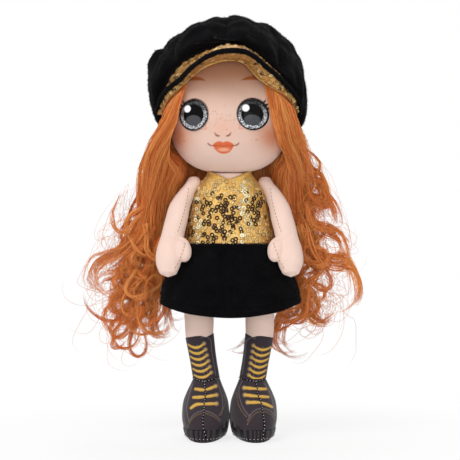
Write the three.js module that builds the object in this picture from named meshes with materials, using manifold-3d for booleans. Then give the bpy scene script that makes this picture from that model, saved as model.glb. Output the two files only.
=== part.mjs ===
// A standing soft fashion doll: a stuffed body with sewn limbs and printed boots, a sequin
// top, a flared plush skirt, long curled hair and a puffy baker-boy cap that lifts off.
// Millimetres, +Z up. The doll faces -Y, so its own left side is +X. The origin is on the
// floor, under the middle of the doll's bounding box.
import * as THREE from "three";
import { mergeVertices } from "three/addons/utils/BufferGeometryUtils.js";
import Module from "manifold-3d";

const wasm = await Module();
wasm.setup();

// Clearances
const seamGap = 0.3;
const looseGap = 0.5;

// Boots
const soleThickness = 8;
const soleEdgeRound = 2;
const soleRibs = 30;
const soleRibDepth = 0.45;
const bootHalfWidth = 14.9;
const toeReach = 35;
const heelReach = 15.5;
const toeOut = THREE.MathUtils.degToRad(3.5);
const ankleHeight = 38;
const ankleRadius = 8.9;
const ankleSpread = 15.2;
const shaftLean = 4.6;
const shaftHeight = 27;
const shaftTopRadius = 9.2;

// Legs
const hipHeight = 100;
const hipSpread = 20.5;
const thighRadius = 9.8;

// Torso, as heights above its underside and half sizes across and through
const torsoUnderX = 19;
const torsoUnderY = 12;
const hipHalfX = 28.8;
const hipHalfY = 19.5;
const waistRise = 17;
const waistHalfX = 28.2;
const waistHalfY = 19;
const chestRise = 42;
const chestHalfX = 23.6;
const chestHalfY = 15.5;
const shoulderRise = 56;
const shoulderHalfX = 18.6;
const shoulderHalfY = 12.2;
const neckRise = 63;
const neckHalfX = 13.6;
const neckHalfY = 11;

// Arms
const armRootRadius = 5.5;
const armLength = 65;
const armHalfWidth = 8.4;
const armHalfThickness = 7;
const armSplay = 18;
const armLean = THREE.MathUtils.degToRad(21);
const thumbHalfWidth = 5.6;
const thumbHalfLength = 8.6;
const thumbHalfThickness = 4.6;
const thumbForward = 2.2;

// Clothes
const topThickness = 1.2;
const collarRise = 1.4;
const necklineDrop = 4;
const necklineSlope = 0.42;
const armholeMargin = 1.2;
const skirtThickness = 1.6;
const skirtLength = 39;
const skirtFrontDrop = 8;
const skirtBackDrop = 4;
const skirtHemHalfX = 46;
const skirtHemHalfY = 30;

// Head, as half sizes from its middle
const headHalfX = 39.8;
const headFront = 34;
const headBack = 36;
const headBelow = 40;
const headAbove = 41;
const headPlanPower = 2.3;
const headSidePower = 2.2;
const headTurn = THREE.MathUtils.degToRad(-7.5);
const eyeSpread = 19;
const eyeDrop = 3.4;
const eyeRadius = 10;
const eyeDome = 1.5;
const eyeRim = 0.6;

// Hair. Its guides are drawn for a head of hairHeadHalfX and grow with the head.
const scalpThickness = 2.2;
const hairHeadHalfX = 39.8;

// Cap, in a plane tipped back on the head
const capTilt = THREE.MathUtils.degToRad(36);
const capTurn = THREE.MathUtils.degToRad(5);
const capRise = 3.3;
const capBack = 1;
const capAside = -1.5;
const bandThickness = 1.2;
const bandBelow = 4;
const bandCover = 2;
const crownThickness = 1.5;
const crownHalfX = 53;
const crownFront = 49.5;
const crownBack = 47;
const crownSwell = 15;
const crownHeight = 50.5;
const crownDroop = 2.5;
const crownHemBack = -1;
const crownHemFront = 11.5;
const crownPanels = 8;
const crownPinch = 0.04;
const visorOverhangX = 2.4;
const visorOverhangY = 21.3;
const visorSetback = 6;
const visorDroop = 4.5;
const visorPointing = 1.6;
const visorLift = 0.4;
const visorEdge = 2.4;
const visorPadding = 2.5;
const bindingHeight = 3.8;
const bindingDepth = 2.6;

// Derived heights
const torsoBottom = hipHeight + thighRadius + seamGap;
const waistHeight = torsoBottom + waistRise;
const neckTop = torsoBottom + neckRise;
const headCentre = neckTop + seamGap + headBelow;
const shoulderHeight = torsoBottom + shoulderRise;
const shoulderSpread = shoulderHalfX + armRootRadius - 0.6;

const circle = 2 * Math.PI;

// A closed surface over rings of points. An end ring of one point is a pole, an open end is
// closed by a fan, and wrap joins the last ring to the first.
function loft(rings, wrap = false) {
  const positions = [];
  const index = [];
  const starts = rings.map((ring) => {
    const start = positions.length / 3;
    ring.forEach((p) => positions.push(p.x, p.y, p.z));
    return start;
  });
  const last = wrap ? rings.length : rings.length - 1;
  for (let k = 0; k < last; k++) {
    const next = (k + 1) % rings.length;
    const [a, b] = [starts[k], starts[next]];
    const [m, n] = [rings[k].length, rings[next].length];
    for (let i = 0; i < Math.max(m, n); i++) {
      const j = (i + 1) % Math.max(m, n);
      if (m > 1) index.push(a + i, a + j, b + (n > 1 ? j : 0));
      if (n > 1) index.push(a + (m > 1 ? i : 0), b + j, b + i);
    }
  }
  const fan = (ring, start, flip) => {
    for (let i = 1; i < ring.length - 1; i++) {
      index.push(start, start + i + (flip ? 1 : 0), start + i + (flip ? 0 : 1));
    }
  };
  if (!wrap) {
    fan(rings[0], starts[0], true);
    fan(rings.at(-1), starts.at(-1), false);
  }
  const geometry = new THREE.BufferGeometry();
  geometry.setAttribute("position", new THREE.Float32BufferAttribute(positions, 3));
  geometry.setIndex(index);
  return facingOut(geometry);
}

// Turns a closed geometry's faces outwards if its signed volume is negative.
function facingOut(geometry) {
  const p = geometry.getAttribute("position");
  const index = geometry.getIndex().array;
  const [a, b, c] = [new THREE.Vector3(), new THREE.Vector3(), new THREE.Vector3()];
  let volume = 0;
  for (let i = 0; i < index.length; i += 3) {
    a.fromBufferAttribute(p, index[i]);
    b.fromBufferAttribute(p, index[i + 1]);
    c.fromBufferAttribute(p, index[i + 2]);
    volume += a.dot(b.cross(c));
  }
  if (volume < 0) {
    for (let i = 0; i < index.length; i += 3) {
      [index[i + 1], index[i + 2]] = [index[i + 2], index[i + 1]];
    }
  }
  geometry.computeVertexNormals();
  return geometry;
}

// A closed geometry as a solid in the doll's own frame, where group places it.
function solidOf(geometry, group) {
  const bare = geometry.clone().deleteAttribute("normal").deleteAttribute("uv");
  group.updateWorldMatrix(true, false);
  const merged = mergeVertices(bare.applyMatrix4(group.matrixWorld), 1e-4);
  return new wasm.Manifold(
    new wasm.Mesh({
      numProp: 3,
      vertProperties: merged.attributes.position.array,
      triVerts: new Uint32Array(merged.index.array),
    }),
  );
}

// A solid's largest body as a geometry in group's frame; loose scraps of a cut are dropped.
function geometryOf(solid, group) {
  const bodies = solid.decompose().sort((a, b) => b.volume() - a.volume());
  const mesh = bodies[0].getMesh();
  const geometry = new THREE.BufferGeometry();
  const positions = new THREE.Float32BufferAttribute(mesh.vertProperties, 3);
  geometry.setAttribute("position", positions);
  geometry.setIndex(Array.from(mesh.triVerts));
  group.updateWorldMatrix(true, false);
  geometry.applyMatrix4(group.matrixWorld.clone().invert());
  geometry.computeVertexNormals();
  return geometry;
}

const unite = (solids) => solids.reduce((sum, solid) => sum.add(solid));

// A horizontal oval ring: a superellipse with its own reach to the front and to the back.
function oval({ x = 0, y = 0, z, halfX, front, back = front, power = 2, count = 24 }) {
  return Array.from({ length: count }, (_, i) => {
    const angle = (i / count) * circle;
    const [c, s] = [Math.cos(angle), Math.sin(angle)];
    const k = (Math.abs(c) ** power + Math.abs(s) ** power) ** (-1 / power);
    return new THREE.Vector3(x + c * k * halfX, y + s * k * (s < 0 ? front : back), z);
  });
}

const pole = (x, y, z) => [new THREE.Vector3(x, y, z)];

// Value of a list of [position, value] pairs at a position, linear in between.
function along(pairs, at) {
  const next = pairs.findIndex(([position]) => position >= at);
  if (next === 0) return pairs[0][1];
  if (next < 0) return pairs.at(-1)[1];
  const [[p0, v0], [p1, v1]] = [pairs[next - 1], pairs[next]];
  return v0 + ((v1 - v0) * (at - p0)) / (p1 - p0);
}

const materials = {
  skin: { color: "#f0cdb8", roughness: 0.85, metalness: 0 },
  eye: { color: "#1c1a1d", roughness: 0.15, metalness: 0 },
  hair: { color: "#c4622a", roughness: 0.45, metalness: 0 },
  plush: { color: "#121114", roughness: 0.95, metalness: 0 },
  sequins: { color: "#c9992f", roughness: 0.3, metalness: 0.9 },
  boot: { color: "#3b3338", roughness: 0.8, metalness: 0 },
  sole: { color: "#2a2428", roughness: 0.7, metalness: 0 },
};

function addMesh(group, name, geometry, finish) {
  const mesh = new THREE.Mesh(geometry, new THREE.MeshStandardMaterial(materials[finish]));
  mesh.name = name;
  group.add(mesh);
  return mesh;
}

// Torso: a bell from a rounded underside to hips, chest, sloping shoulders and a neck.
const torsoX = [
  [0, torsoUnderX],
  [2, torsoUnderX + 6.4],
  [6, hipHalfX - 0.6],
  [12, hipHalfX],
  [waistRise, waistHalfX],
  [(waistRise + chestRise) / 2, (waistHalfX + chestHalfX) / 2 + 0.4],
  [chestRise, chestHalfX],
  [(chestRise + shoulderRise) / 2 + 1, (chestHalfX + shoulderHalfX) / 2 + 0.9],
  [shoulderRise, shoulderHalfX],
  [shoulderRise + 3.5, (shoulderHalfX + neckHalfX) / 2],
  [neckRise, neckHalfX],
];
const torsoY = [
  [0, torsoUnderY],
  [2, torsoUnderY + 4.8],
  [6, hipHalfY - 0.5],
  [12, hipHalfY],
  [waistRise, waistHalfY],
  [chestRise, chestHalfY],
  [shoulderRise, shoulderHalfY],
  [neckRise, neckHalfY],
];
const torsoPower = 2.2;

function torsoRing(rise, grow = 0, count = 32) {
  return oval({
    z: torsoBottom + rise,
    halfX: along(torsoX, rise) + grow,
    front: along(torsoY, rise) + grow,
    power: torsoPower,
    count,
  });
}

const torsoGeometry = (grow = 0) => loft(torsoX.map(([rise]) => torsoRing(rise, grow)));

// Top: a halter shell over the torso, from the waist seam to the collar.
function topGeometry() {
  const rises = [waistRise + seamGap / 2, ...torsoX.slice(5).map(([rise]) => rise)];
  const heights = [...rises, neckRise + collarRise];
  const outer = heights.map((rise) => torsoRing(rise, seamGap + topThickness));
  const inner = heights.map((rise) => torsoRing(rise, seamGap)).reverse();
  return loft([...outer, ...inner], true);
}

// The wedge that opens the top's front neckline.
function necklineWedge() {
  const half = 2 * neckHalfX;
  const shape = new THREE.Shape()
    .moveTo(0, 0)
    .lineTo(half, half * necklineSlope)
    .lineTo(half, half)
    .lineTo(-half, half)
    .lineTo(-half, half * necklineSlope)
    .closePath();
  const depth = 2 * shoulderHalfY;
  const wedge = new THREE.ExtrudeGeometry(shape, { depth, bevelEnabled: false });
  return wedge.rotateX(Math.PI / 2).translate(0, 0, neckTop - necklineDrop);
}

// Skirt: half sizes by share of the way from the waist to the hem, bulging out early.
const skirtBulge = 1;
const skirtShares = [0, 0.18, 0.4, 0.65, 0.85, 1];

function skirtRing(share, grow, count = 40) {
  const widen = Math.sin((share ** skirtBulge * Math.PI) / 2);
  const waistX = waistHalfX + seamGap + skirtThickness;
  const waistY = waistHalfY + seamGap + skirtThickness;
  const ring = oval({
    z: 0,
    halfX: waistX + (skirtHemHalfX - waistX) * widen + grow,
    front: waistY + (skirtHemHalfY - waistY) * widen + grow,
    power: torsoPower,
    count,
  });
  return ring.map((p, i) => {
    const toBack = Math.sin((i / count) * circle);
    const drop = toBack < 0 ? skirtFrontDrop * toBack ** 2 : skirtBackDrop * toBack ** 2;
    const top = waistHeight - seamGap / 2;
    return p.setZ(top - (skirtLength + drop) * share);
  });
}

function skirtGeometry() {
  const outer = skirtShares.map((share) => skirtRing(share, 0));
  const inner = skirtShares.map((share) => skirtRing(share, -skirtThickness)).reverse();
  return loft([...outer, ...inner], true);
}

const skirtBlock = (grow) => loft(skirtShares.map((share) => skirtRing(share, grow)));

// Arm, hanging from its shoulder at the origin: [way down, outward, half width, half
// thickness]. A mitten hand, with a thumb that points in.
const armStations = [
  [-0.062, 0, 0.45, 0.54],
  [0, 0.02, 0.655, 0.79],
  [0.08, 0.36, 0.78, 0.84],
  [0.16, 0.5, 0.9, 0.94],
  [0.24, 0.62, 0.99, 1],
  [0.36, 0.72, 1, 1.02],
  [0.57, 0.84, 0.92, 0.94],
  [0.72, 0.93, 1, 0.96],
  [0.87, 0.98, 0.94, 0.88],
  [0.96, 1, 0.66, 0.58],
];

function armGeometry(side, grow = 0) {
  const rings = armStations.map(([down, out, wide, thick]) =>
    oval({
      x: side * out * armSplay,
      z: -down * armLength,
      halfX: wide * armHalfWidth + grow,
      front: thick * armHalfThickness + grow,
      count: 16,
    }),
  );
  return loft([
    pole(0, 0, armRootRadius + grow),
    ...rings,
    pole(side * armSplay, 0, -armLength - grow),
  ]);
}

function thumbGeometry(side, grow = 0) {
  const thumb = new THREE.SphereGeometry(1, 14, 8);
  thumb.scale(thumbHalfWidth + grow, thumbHalfThickness + grow, thumbHalfLength + grow);
  thumb.rotateY(side * 0.22);
  const inward = armSplay - 1.1 * armHalfWidth;
  return thumb.translate(side * inward, -thumbForward, -0.72 * armLength);
}

const armSolid = (side, group, grow = 0) =>
  solidOf(armGeometry(side, grow), group).add(solidOf(thumbGeometry(side, grow), group));

// Leg and boot, hanging from the hip at the origin. The leg leans in to the ankle.
const ankleDrop = hipHeight - ankleHeight;
const shaftTopDrop = ankleDrop - shaftHeight;

function legCentre(side, down) {
  const inward = [
    [0, 0],
    [shaftTopDrop, hipSpread - ankleSpread - shaftLean],
    [ankleDrop, hipSpread - ankleSpread],
  ];
  return -side * along(inward, Math.max(down, 0));
}

function legRing(side, down, radius) {
  return oval({ x: legCentre(side, down), z: -down, halfX: radius, front: radius, count: 20 });
}

function legGeometry(side, grow = 0) {
  const cap = [-75, -50, -25, 0].map((degrees) => {
    const a = THREE.MathUtils.degToRad(degrees);
    const radius = (thighRadius + grow) * Math.cos(a);
    return legRing(side, (thighRadius + grow) * Math.sin(a), radius);
  });
  const shank = [
    [0.4, thighRadius],
    [0.75, 0.5 * (thighRadius + shaftTopRadius)],
    [1, shaftTopRadius - 0.2],
  ].map(([share, radius]) => legRing(side, share * shaftTopDrop, radius + grow));
  return loft([pole(0, 0, thighRadius + grow), ...cap, ...shank]);
}

function shaftGeometry(side) {
  const stations = [
    [seamGap, shaftTopRadius],
    [0.25 * shaftHeight, shaftTopRadius - 0.2],
    [0.6 * shaftHeight, ankleRadius - 0.1],
    [shaftHeight - seamGap, ankleRadius],
  ];
  return loft(stations.map(([down, radius]) => legRing(side, shaftTopDrop + down, radius)));
}

// Foot: shares of the reaches and the width, by share of the way up from sole to ankle.
const footStations = [
  [0, 1, 1, 1],
  [0.12, 0.985, 1, 1.01],
  [0.32, 0.87, 0.97, 0.99],
  [0.52, 0.68, 0.9, 0.93],
  [0.72, 0.49, 0.8, 0.8],
  [0.88, 0.36, 0.7, 0.68],
];
const footPower = 2.35;
const footTop = ankleHeight - seamGap;

function footGeometry() {
  const bottom = soleThickness + seamGap;
  const rings = footStations.map(([up, front, back, wide]) =>
    oval({
      z: bottom + up * (footTop - bottom),
      halfX: wide * bootHalfWidth,
      front: front * toeReach,
      back: back * heelReach,
      power: footPower - 0.35 * up,
      count: 28,
    }),
  );
  const top = oval({
    z: footTop,
    halfX: ankleRadius,
    front: ankleRadius,
    count: 28,
  });
  return loft([...rings, top]).translate(0, 0, -hipHeight);
}

// Sole: the foot's outline with upright ribs round its edge, rounded in to a flat tread.
function soleRing(z, inset) {
  const count = 2 * soleRibs;
  const ring = oval({
    z,
    halfX: bootHalfWidth - inset,
    front: toeReach - inset,
    back: heelReach - inset,
    power: footPower,
    count,
  });
  return ring.map((p, i) => {
    const rib = 1 - (i % 2 ? soleRibDepth : 0) / Math.hypot(p.x, p.y);
    return p.set(p.x * rib, p.y * rib, z);
  });
}

function soleGeometry() {
  return loft([
    soleRing(0, soleEdgeRound),
    soleRing(0.35 * soleEdgeRound, 0.4 * soleEdgeRound),
    soleRing(soleEdgeRound, 0),
    soleRing(soleThickness, 0),
  ]).translate(0, 0, -hipHeight);
}

// Head: a superellipsoid about its middle. share is 1 on its skin, less inside.
function headShare(p, grow = 0) {
  const plan =
    Math.abs(p.x / (headHalfX + grow)) ** headPlanPower +
    Math.abs(p.y / ((p.y < 0 ? headFront : headBack) + grow)) ** headPlanPower;
  const rise = Math.abs(p.z / ((p.z < 0 ? headBelow : headAbove) + grow));
  return plan ** (headSidePower / headPlanPower) + rise ** headSidePower;
}

function headGeometry(grow = 0) {
  const angles = [-72, -58, -44, -30, -15, 0, 15, 30, 45, 60, 74];
  const rings = angles.map((degrees) => {
    const a = THREE.MathUtils.degToRad(degrees);
    const rise = Math.sign(a) * Math.abs(Math.sin(a)) ** (2 / headSidePower);
    const wide = Math.cos(a) ** (2 / headSidePower);
    return oval({
      z: rise * ((rise < 0 ? headBelow : headAbove) + grow),
      halfX: wide * (headHalfX + grow),
      front: wide * (headFront + grow),
      back: wide * (headBack + grow),
      power: headPlanPower,
      count: 32,
    });
  });
  return loft([pole(0, 0, -headBelow - grow), ...rings, pole(0, 0, headAbove + grow)]);
}

// Distance from a point inside the head along a direction to the head's skin.
function headReach(origin, direction, grow = 0) {
  let [near, far] = [0, 2 * (headAbove + headHalfX)];
  for (let i = 0; i < 30; i++) {
    const middle = (near + far) / 2;
    const p = origin.clone().addScaledVector(direction, middle);
    if (headShare(p, grow) < 1) near = middle;
    else far = middle;
  }
  return near;
}

// Point of the face at (x, z), lifted off the skin along the skin's normal.
function facePoint(x, z, lift) {
  const forward = new THREE.Vector3(0, -1, 0);
  const skin = new THREE.Vector3(x, -headReach(new THREE.Vector3(x, 0, z), forward), z);
  const step = 0.05;
  const slope = (dx, dy, dz) =>
    headShare(new THREE.Vector3(dx, dy, dz).multiplyScalar(step).add(skin)) -
    headShare(new THREE.Vector3(dx, dy, dz).multiplyScalar(-step).add(skin));
  const normal = new THREE.Vector3(slope(1, 0, 0), slope(0, 1, 0), slope(0, 0, 1));
  return skin.addScaledVector(normal.normalize(), lift);
}

// Eye: a round domed lens whose back lies on the face.
function eyeRing(side, radius, lift) {
  return Array.from({ length: 24 }, (_, i) => {
    const a = (i / 24) * circle;
    return facePoint(side * eyeSpread + radius * Math.cos(a), -eyeDrop + radius * Math.sin(a), lift);
  });
}

const eyeMiddle = (side, lift) => [facePoint(side * eyeSpread, -eyeDrop, lift)];

function eyeGeometry(side) {
  const dome = [0.35, 0.65, 0.85, 1].map((share) =>
    eyeRing(side, share * eyeRadius, seamGap + eyeRim + eyeDome * (1 - share ** 2)),
  );
  const backing = [1, 0.9, 0.5].map((share) => eyeRing(side, share * eyeRadius, seamGap));
  const front = eyeMiddle(side, seamGap + eyeRim + eyeDome);
  return loft([front, ...dome, ...backing, eyeMiddle(side, seamGap)]);
}

// The space in front of an eye that hair stays out of.
const eyeZone = (side) =>
  loft([eyeRing(side, eyeRadius + looseGap, -2), eyeRing(side, eyeRadius + looseGap, 12)]);

// Groups: each carries its pieces' own frame.
const doll = new THREE.Group();
const head = new THREE.Group();
head.position.z = headCentre;
head.rotation.z = headTurn;
doll.add(head);
const cap = new THREE.Group();
cap.position.set(capAside, capBack, capRise);
cap.rotation.order = "ZYX";
cap.rotation.set(-capTilt, 0, capTurn);
cap.updateMatrix();
head.add(cap);

const sides = [
  ["left", 1],
  ["right", -1],
];
const arms = {};
const legs = {};
const feet = {};
for (const [name, side] of sides) {
  arms[name] = new THREE.Group();
  arms[name].position.set(side * shoulderSpread, 0, shoulderHeight);
  arms[name].rotation.x = -armLean;
  legs[name] = new THREE.Group();
  legs[name].position.set(side * hipSpread, 0, hipHeight);
  feet[name] = new THREE.Group();
  feet[name].position.x = side * (ankleSpread - hipSpread);
  feet[name].rotation.z = side * toeOut;
  legs[name].add(feet[name]);
  doll.add(arms[name], legs[name]);
}

// Cap parts, in the cap's frame: +Z along its axis, -Y to the front. The band follows the
// head's own section, over the hair and a loose clearance.
function bandRadius(angle, up) {
  const origin = new THREE.Vector3(0, 0, up).applyMatrix4(cap.matrix);
  const outward = new THREE.Vector3(Math.cos(angle), Math.sin(angle), 0);
  return headReach(origin, outward.transformDirection(cap.matrix), scalpThickness + looseGap);
}

const frontness = (angle) => Math.max(0, -Math.sin(angle));
const crownHem = (angle) =>
  crownHemBack + (crownHemFront - crownHemBack) * frontness(angle) ** 1.2;
const bandTop = (angle) => crownHem(angle) + bandCover;

function bandOuter(angle) {
  const heights = [0, 0.5, 1].map((t) => THREE.MathUtils.lerp(-bandBelow, bandTop(angle), t));
  return Math.max(...heights.map((up) => bandRadius(angle, up))) + bandThickness;
}

function capRing(count, radiusAt, upAt) {
  return Array.from({ length: count }, (_, i) => {
    const a = (i / count) * circle;
    return new THREE.Vector3(Math.cos(a) * radiusAt(a), Math.sin(a) * radiusAt(a), upAt(a));
  });
}

function bandGeometry() {
  const inner = (a) => bandOuter(a) - bandThickness;
  return loft(
    [
      capRing(48, bandOuter, () => -bandBelow),
      capRing(48, bandOuter, bandTop),
      capRing(48, inner, bandTop),
      capRing(48, inner, () => -bandBelow),
    ],
    true,
  );
}

// Crown: a puffed dome of sewn panels, drawn in at its seams, that hangs over the band.
function crownReach(angle) {
  const across = Math.sin(angle);
  const through = across < 0 ? crownFront : crownBack;
  const reach = crownHalfX + (through - crownHalfX) * across ** 2;
  return reach * (1 - crownPinch * (1 - Math.abs(Math.sin((crownPanels * angle) / 2))) ** 1.4);
}

function crownGeometry() {
  const count = 6 * crownPanels;
  const dome = (degrees, skin) => {
    const s = Math.sin(THREE.MathUtils.degToRad(degrees));
    const c = Math.cos(THREE.MathUtils.degToRad(degrees));
    const wide = (a) => s * (crownReach(a) - skin);
    return capRing(count, wide, () => crownSwell + c * (crownHeight - skin));
  };
  const under = (share, skin) => {
    const s = Math.sin((share * Math.PI) / 2);
    const c = Math.cos((share * Math.PI) / 2) ** 0.6;
    const rim = (a) => bandOuter(a) + seamGap + crownThickness - skin;
    const wide = (a) => rim(a) + (crownReach(a) - skin - rim(a)) * c;
    const droop = (a) => crownDroop * Math.sin(Math.PI * share) * (1 - frontness(a));
    return capRing(count, wide, (a) => crownSwell - (crownSwell - crownHem(a)) * s - droop(a));
  };
  const [outer, inner] = [0, crownThickness].map((skin) => [
    pole(0, 0, crownSwell + crownHeight - skin),
    ...[20, 40, 57, 73, 90].map((degrees) => dome(degrees, skin)),
    ...[0.3, 0.58, 0.82, 1].map((share) => under(share, skin)),
  ]);
  return loft([...outer, ...inner.reverse()]);
}

// Visor: a padded crescent from the band to an arched edge. turn is 0 at the front.
const visorTurns = Array.from({ length: 19 }, (_, i) => THREE.MathUtils.degToRad(-81 + 9 * i));

const visorReachX = bandOuter(0) + visorOverhangX;
const visorReachY = bandOuter(-Math.PI / 2) + visorOverhangY;

function visorEdgeAt(turn) {
  const forward = Math.cos(turn) ** visorPointing;
  return new THREE.Vector3(
    visorReachX * Math.sin(turn),
    -visorSetback - (visorReachY - visorSetback) * forward,
    -bandBelow + visorLift - visorDroop * forward,
  );
}

function visorSection(turn) {
  const edge = visorEdgeAt(turn);
  const angle = Math.atan2(edge.y, edge.x);
  const outward = new THREE.Vector3(Math.cos(angle), Math.sin(angle), 0);
  const rootRadius = bandOuter(angle) + seamGap;
  const edgeRadius = Math.hypot(edge.x, edge.y);
  const at = (share, up) =>
    outward
      .clone()
      .multiplyScalar(rootRadius + (edgeRadius - rootRadius) * share)
      .setZ(up);
  const top = crownHem(angle) - looseGap;
  const bottom = -bandBelow + visorLift;
  const half = visorEdge / 2;
  const lerp = THREE.MathUtils.lerp;
  return [
    at(0, bottom),
    at(0.5, lerp(bottom, edge.z - half, 0.5)),
    at(1, edge.z - half),
    at(1, edge.z + half),
    at(0.5, lerp(top, edge.z + half, 0.5) + visorPadding * Math.cos(turn)),
    at(0, top),
  ];
}

const visorGeometry = () => loft(visorTurns.map(visorSection));

function bindingGeometry() {
  const sections = visorTurns.map((turn) => {
    const edge = visorEdgeAt(turn);
    const outward = new THREE.Vector3(edge.x, edge.y, 0).normalize();
    const middle = edge.clone().addScaledVector(outward, seamGap + bindingDepth / 2);
    return Array.from({ length: 8 }, (_, i) => {
      const a = (i / 8) * circle;
      const p = middle.clone().addScaledVector(outward, (Math.cos(a) * bindingDepth) / 2);
      return p.setZ(middle.z + (Math.sin(a) * bindingHeight) / 2);
    });
  });
  return loft(sections);
}

// Hair. Falls are lofts of flat ovals and curls are flattened tubes, in millimetres from
// the head's middle: x, y, z, and half sizes across and through.
function fallGeometry(stations, grow = 0) {
  const rings = stations.map((station) => {
    const [x, y, z, halfX, halfY] = station.map((value) => value * hairScale);
    return oval({ x, y, z, halfX: halfX + grow, front: halfY + grow, count: 14 });
  });
  return loft(rings);
}

// A curl follows its points, wide along wideAxis and thin across, tapering to its tip.
function curlGeometry({ points, wide, thick, wideAxis = [0, 1, 0] }, grow = 0) {
  const guide = points.map((p) => new THREE.Vector3(...p).multiplyScalar(hairScale));
  const path = new THREE.CatmullRomCurve3(guide);
  const steps = 3 * (points.length - 1);
  const axis = new THREE.Vector3(...wideAxis);
  const rings = Array.from({ length: steps + 1 }, (_, i) => {
    const t = i / steps;
    const middle = path.getPoint(t);
    const tangent = path.getTangent(t);
    const across = axis.clone().addScaledVector(tangent, -axis.dot(tangent)).normalize();
    const through = tangent.clone().cross(across);
    const taper = Math.min(1, 0.3 + 1.6 * (1 - t));
    return Array.from({ length: 6 }, (_, j) => {
      const a = (j / 6) * circle;
      return middle
        .clone()
        .addScaledVector(across, Math.cos(a) * (wide * hairScale * taper + grow))
        .addScaledVector(through, Math.sin(a) * (thick * hairScale * taper + grow));
    });
  });
  return loft(rings);
}

const hairSides = {
  left: {
    fall: [
      [41.5, -3, 12, 7, 15],
      [43, -2, -3, 7.5, 16],
      [42.5, 0, -18, 8.5, 14],
      [41, 6, -34, 12, 10],
      [40.5, 12, -50, 15, 8],
      [42, 15, -65, 15, 7.5],
      [46, 16, -80, 13, 7.5],
      [53, 15, -95, 14, 8],
      [62, 14, -106, 14, 7.5],
      [71, 13, -114, 10, 6],
      [79, 12, -118, 4, 3],
    ],
    curls: [
      {
        points: [[25, -28, 20], [30, -27, 6], [35, -22, -8], [41, -12, -20], [43, 0, -34]],
        wide: 8,
        thick: 5,
        wideAxis: [1, 0, 0],
      },
      { points: [[42, 0, -18], [50, 0, -21], [57, 2, -22], [62, 4, -25]], wide: 4, thick: 3.4 },
      {
        points: [
          [44, 8, -32], [50, 8, -37], [59, 9, -38], [66, 10, -44], [65, 11, -52],
          [58, 12, -54],
        ],
        wide: 4.0,
        thick: 3.2,
      },
      {
        points: [
          [45, 14, -58], [57, 15, -63], [70, 14, -60], [80, 12, -63], [80, 11, -72],
          [72, 10, -79],
        ],
        wide: 4.6,
        thick: 3.5,
      },
      {
        points: [[50, 16, -72], [62, 17, -77], [75, 16, -84], [82, 14, -92], [76, 12, -98]],
        wide: 5.2,
        thick: 3.8,
      },
      {
        points: [
          [50, 17, -98], [58, 19, -114], [68, 20, -124], [80, 18, -124], [86, 15, -116],
          [87, 12, -106], [81, 10, -99],
        ],
        wide: 4.6,
        thick: 3.8,
      },
      {
        points: [
          [54, 20, -108], [49, 22, -124], [48, 22, -134], [54, 21, -142], [62, 19, -139],
          [64, 17, -130], [57, 15, -125],
        ],
        wide: 3.7,
        thick: 2.9,
      },
      {
        points: [
          [46, 24, -96], [44, 26, -118], [46, 27, -134], [43, 28, -145], [35, 28, -151],
          [27, 28, -154],
        ],
        wide: 3.7,
        thick: 3.2,
      },
    ],
  },
  right: {
    fall: [
      [-41.5, -3, 12, 7, 15],
      [-43.5, -2, -3, 7.5, 16],
      [-44.5, 0, -20, 9.5, 14],
      [-45, 6, -36, 13, 10],
      [-46.5, 11, -52, 15, 8],
      [-48.5, 14, -68, 14.5, 7.5],
      [-50.5, 15, -84, 13.5, 7.5],
      [-54, 15, -98, 16, 8],
      [-56, 15, -114, 16, 8],
      [-56, 15, -130, 12.5, 7],
      [-56, 14, -142, 7, 5],
      [-56.5, 14, -149, 2.5, 2],
    ],
    curls: [
      {
        points: [[-33, -25, 20], [-37, -21, 4], [-41, -16, -12], [-44, -8, -24], [-46, 0, -38]],
        wide: 7,
        thick: 5,
        wideAxis: [1, 0, 0],
      },
      {
        points: [
          [-56, 13, -80], [-67, 12, -89], [-79, 11, -96], [-88, 12, -101], [-92, 13, -108],
          [-88, 14, -114], [-78, 15, -117], [-62, 15, -116],
        ],
        wide: 5.2,
        thick: 4.2,
      },
      {
        points: [[-56, 10, -112], [-68, 9, -122], [-80, 9, -122], [-89, 9, -124]],
        wide: 4.1,
        thick: 3.5,
      },
      {
        points: [[-60, 17, -92], [-70, 18, -99], [-75, 19, -108], [-70, 20, -124], [-62, 20, -133]],
        wide: 4.6,
        thick: 3.8,
      },
      {
        points: [
          [-54, 17, -132], [-49, 18, -146], [-41, 18, -147], [-38, 17, -143], [-42, 16, -140],
        ],
        wide: 3.5,
        thick: 2.9,
      },
      {
        points: [[-50, 20, -122], [-44, 22, -136], [-38, 23, -141], [-31, 23, -138]],
        wide: 3.5,
        thick: 2.9,
      },
    ],
  },
};

const backFall = [
  [0, 27, 5, 38, 12],
  [0, 29, -14, 42, 10],
  [0, 28, -30, 44, 8.5],
  [0, 28, -50, 45, 8],
  [0, 29, -75, 44, 7.5],
  [1, 33, -100, 42, 7],
  [2, 36, -116, 36, 6],
];
const backTips = [
  [-33, 1],
  [-13, 0.55],
  [15, 0.95],
  [32, 0.8],
];
const backTipPoints = (x, reach, lean) => [
  [x, 37, -100],
  [x + lean, 38, -100 - 18 * reach],
  [x + 2 * lean, 36, -100 - 30 * reach],
  [x + lean, 34, -100 - 38 * reach],
  [x - lean, 33, -100 - 41 * reach],
];

const hairScale = headHalfX / hairHeadHalfX;
const hairGroup = new THREE.Group();
hairGroup.position.z = headCentre;
doll.add(hairGroup);

function sideHair(name, grow = 0) {
  const { fall, curls } = hairSides[name];
  const parts = [fallGeometry(fall, grow), ...curls.map((curl) => curlGeometry(curl, grow))];
  return unite(parts.map((part) => solidOf(part, hairGroup)));
}

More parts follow.
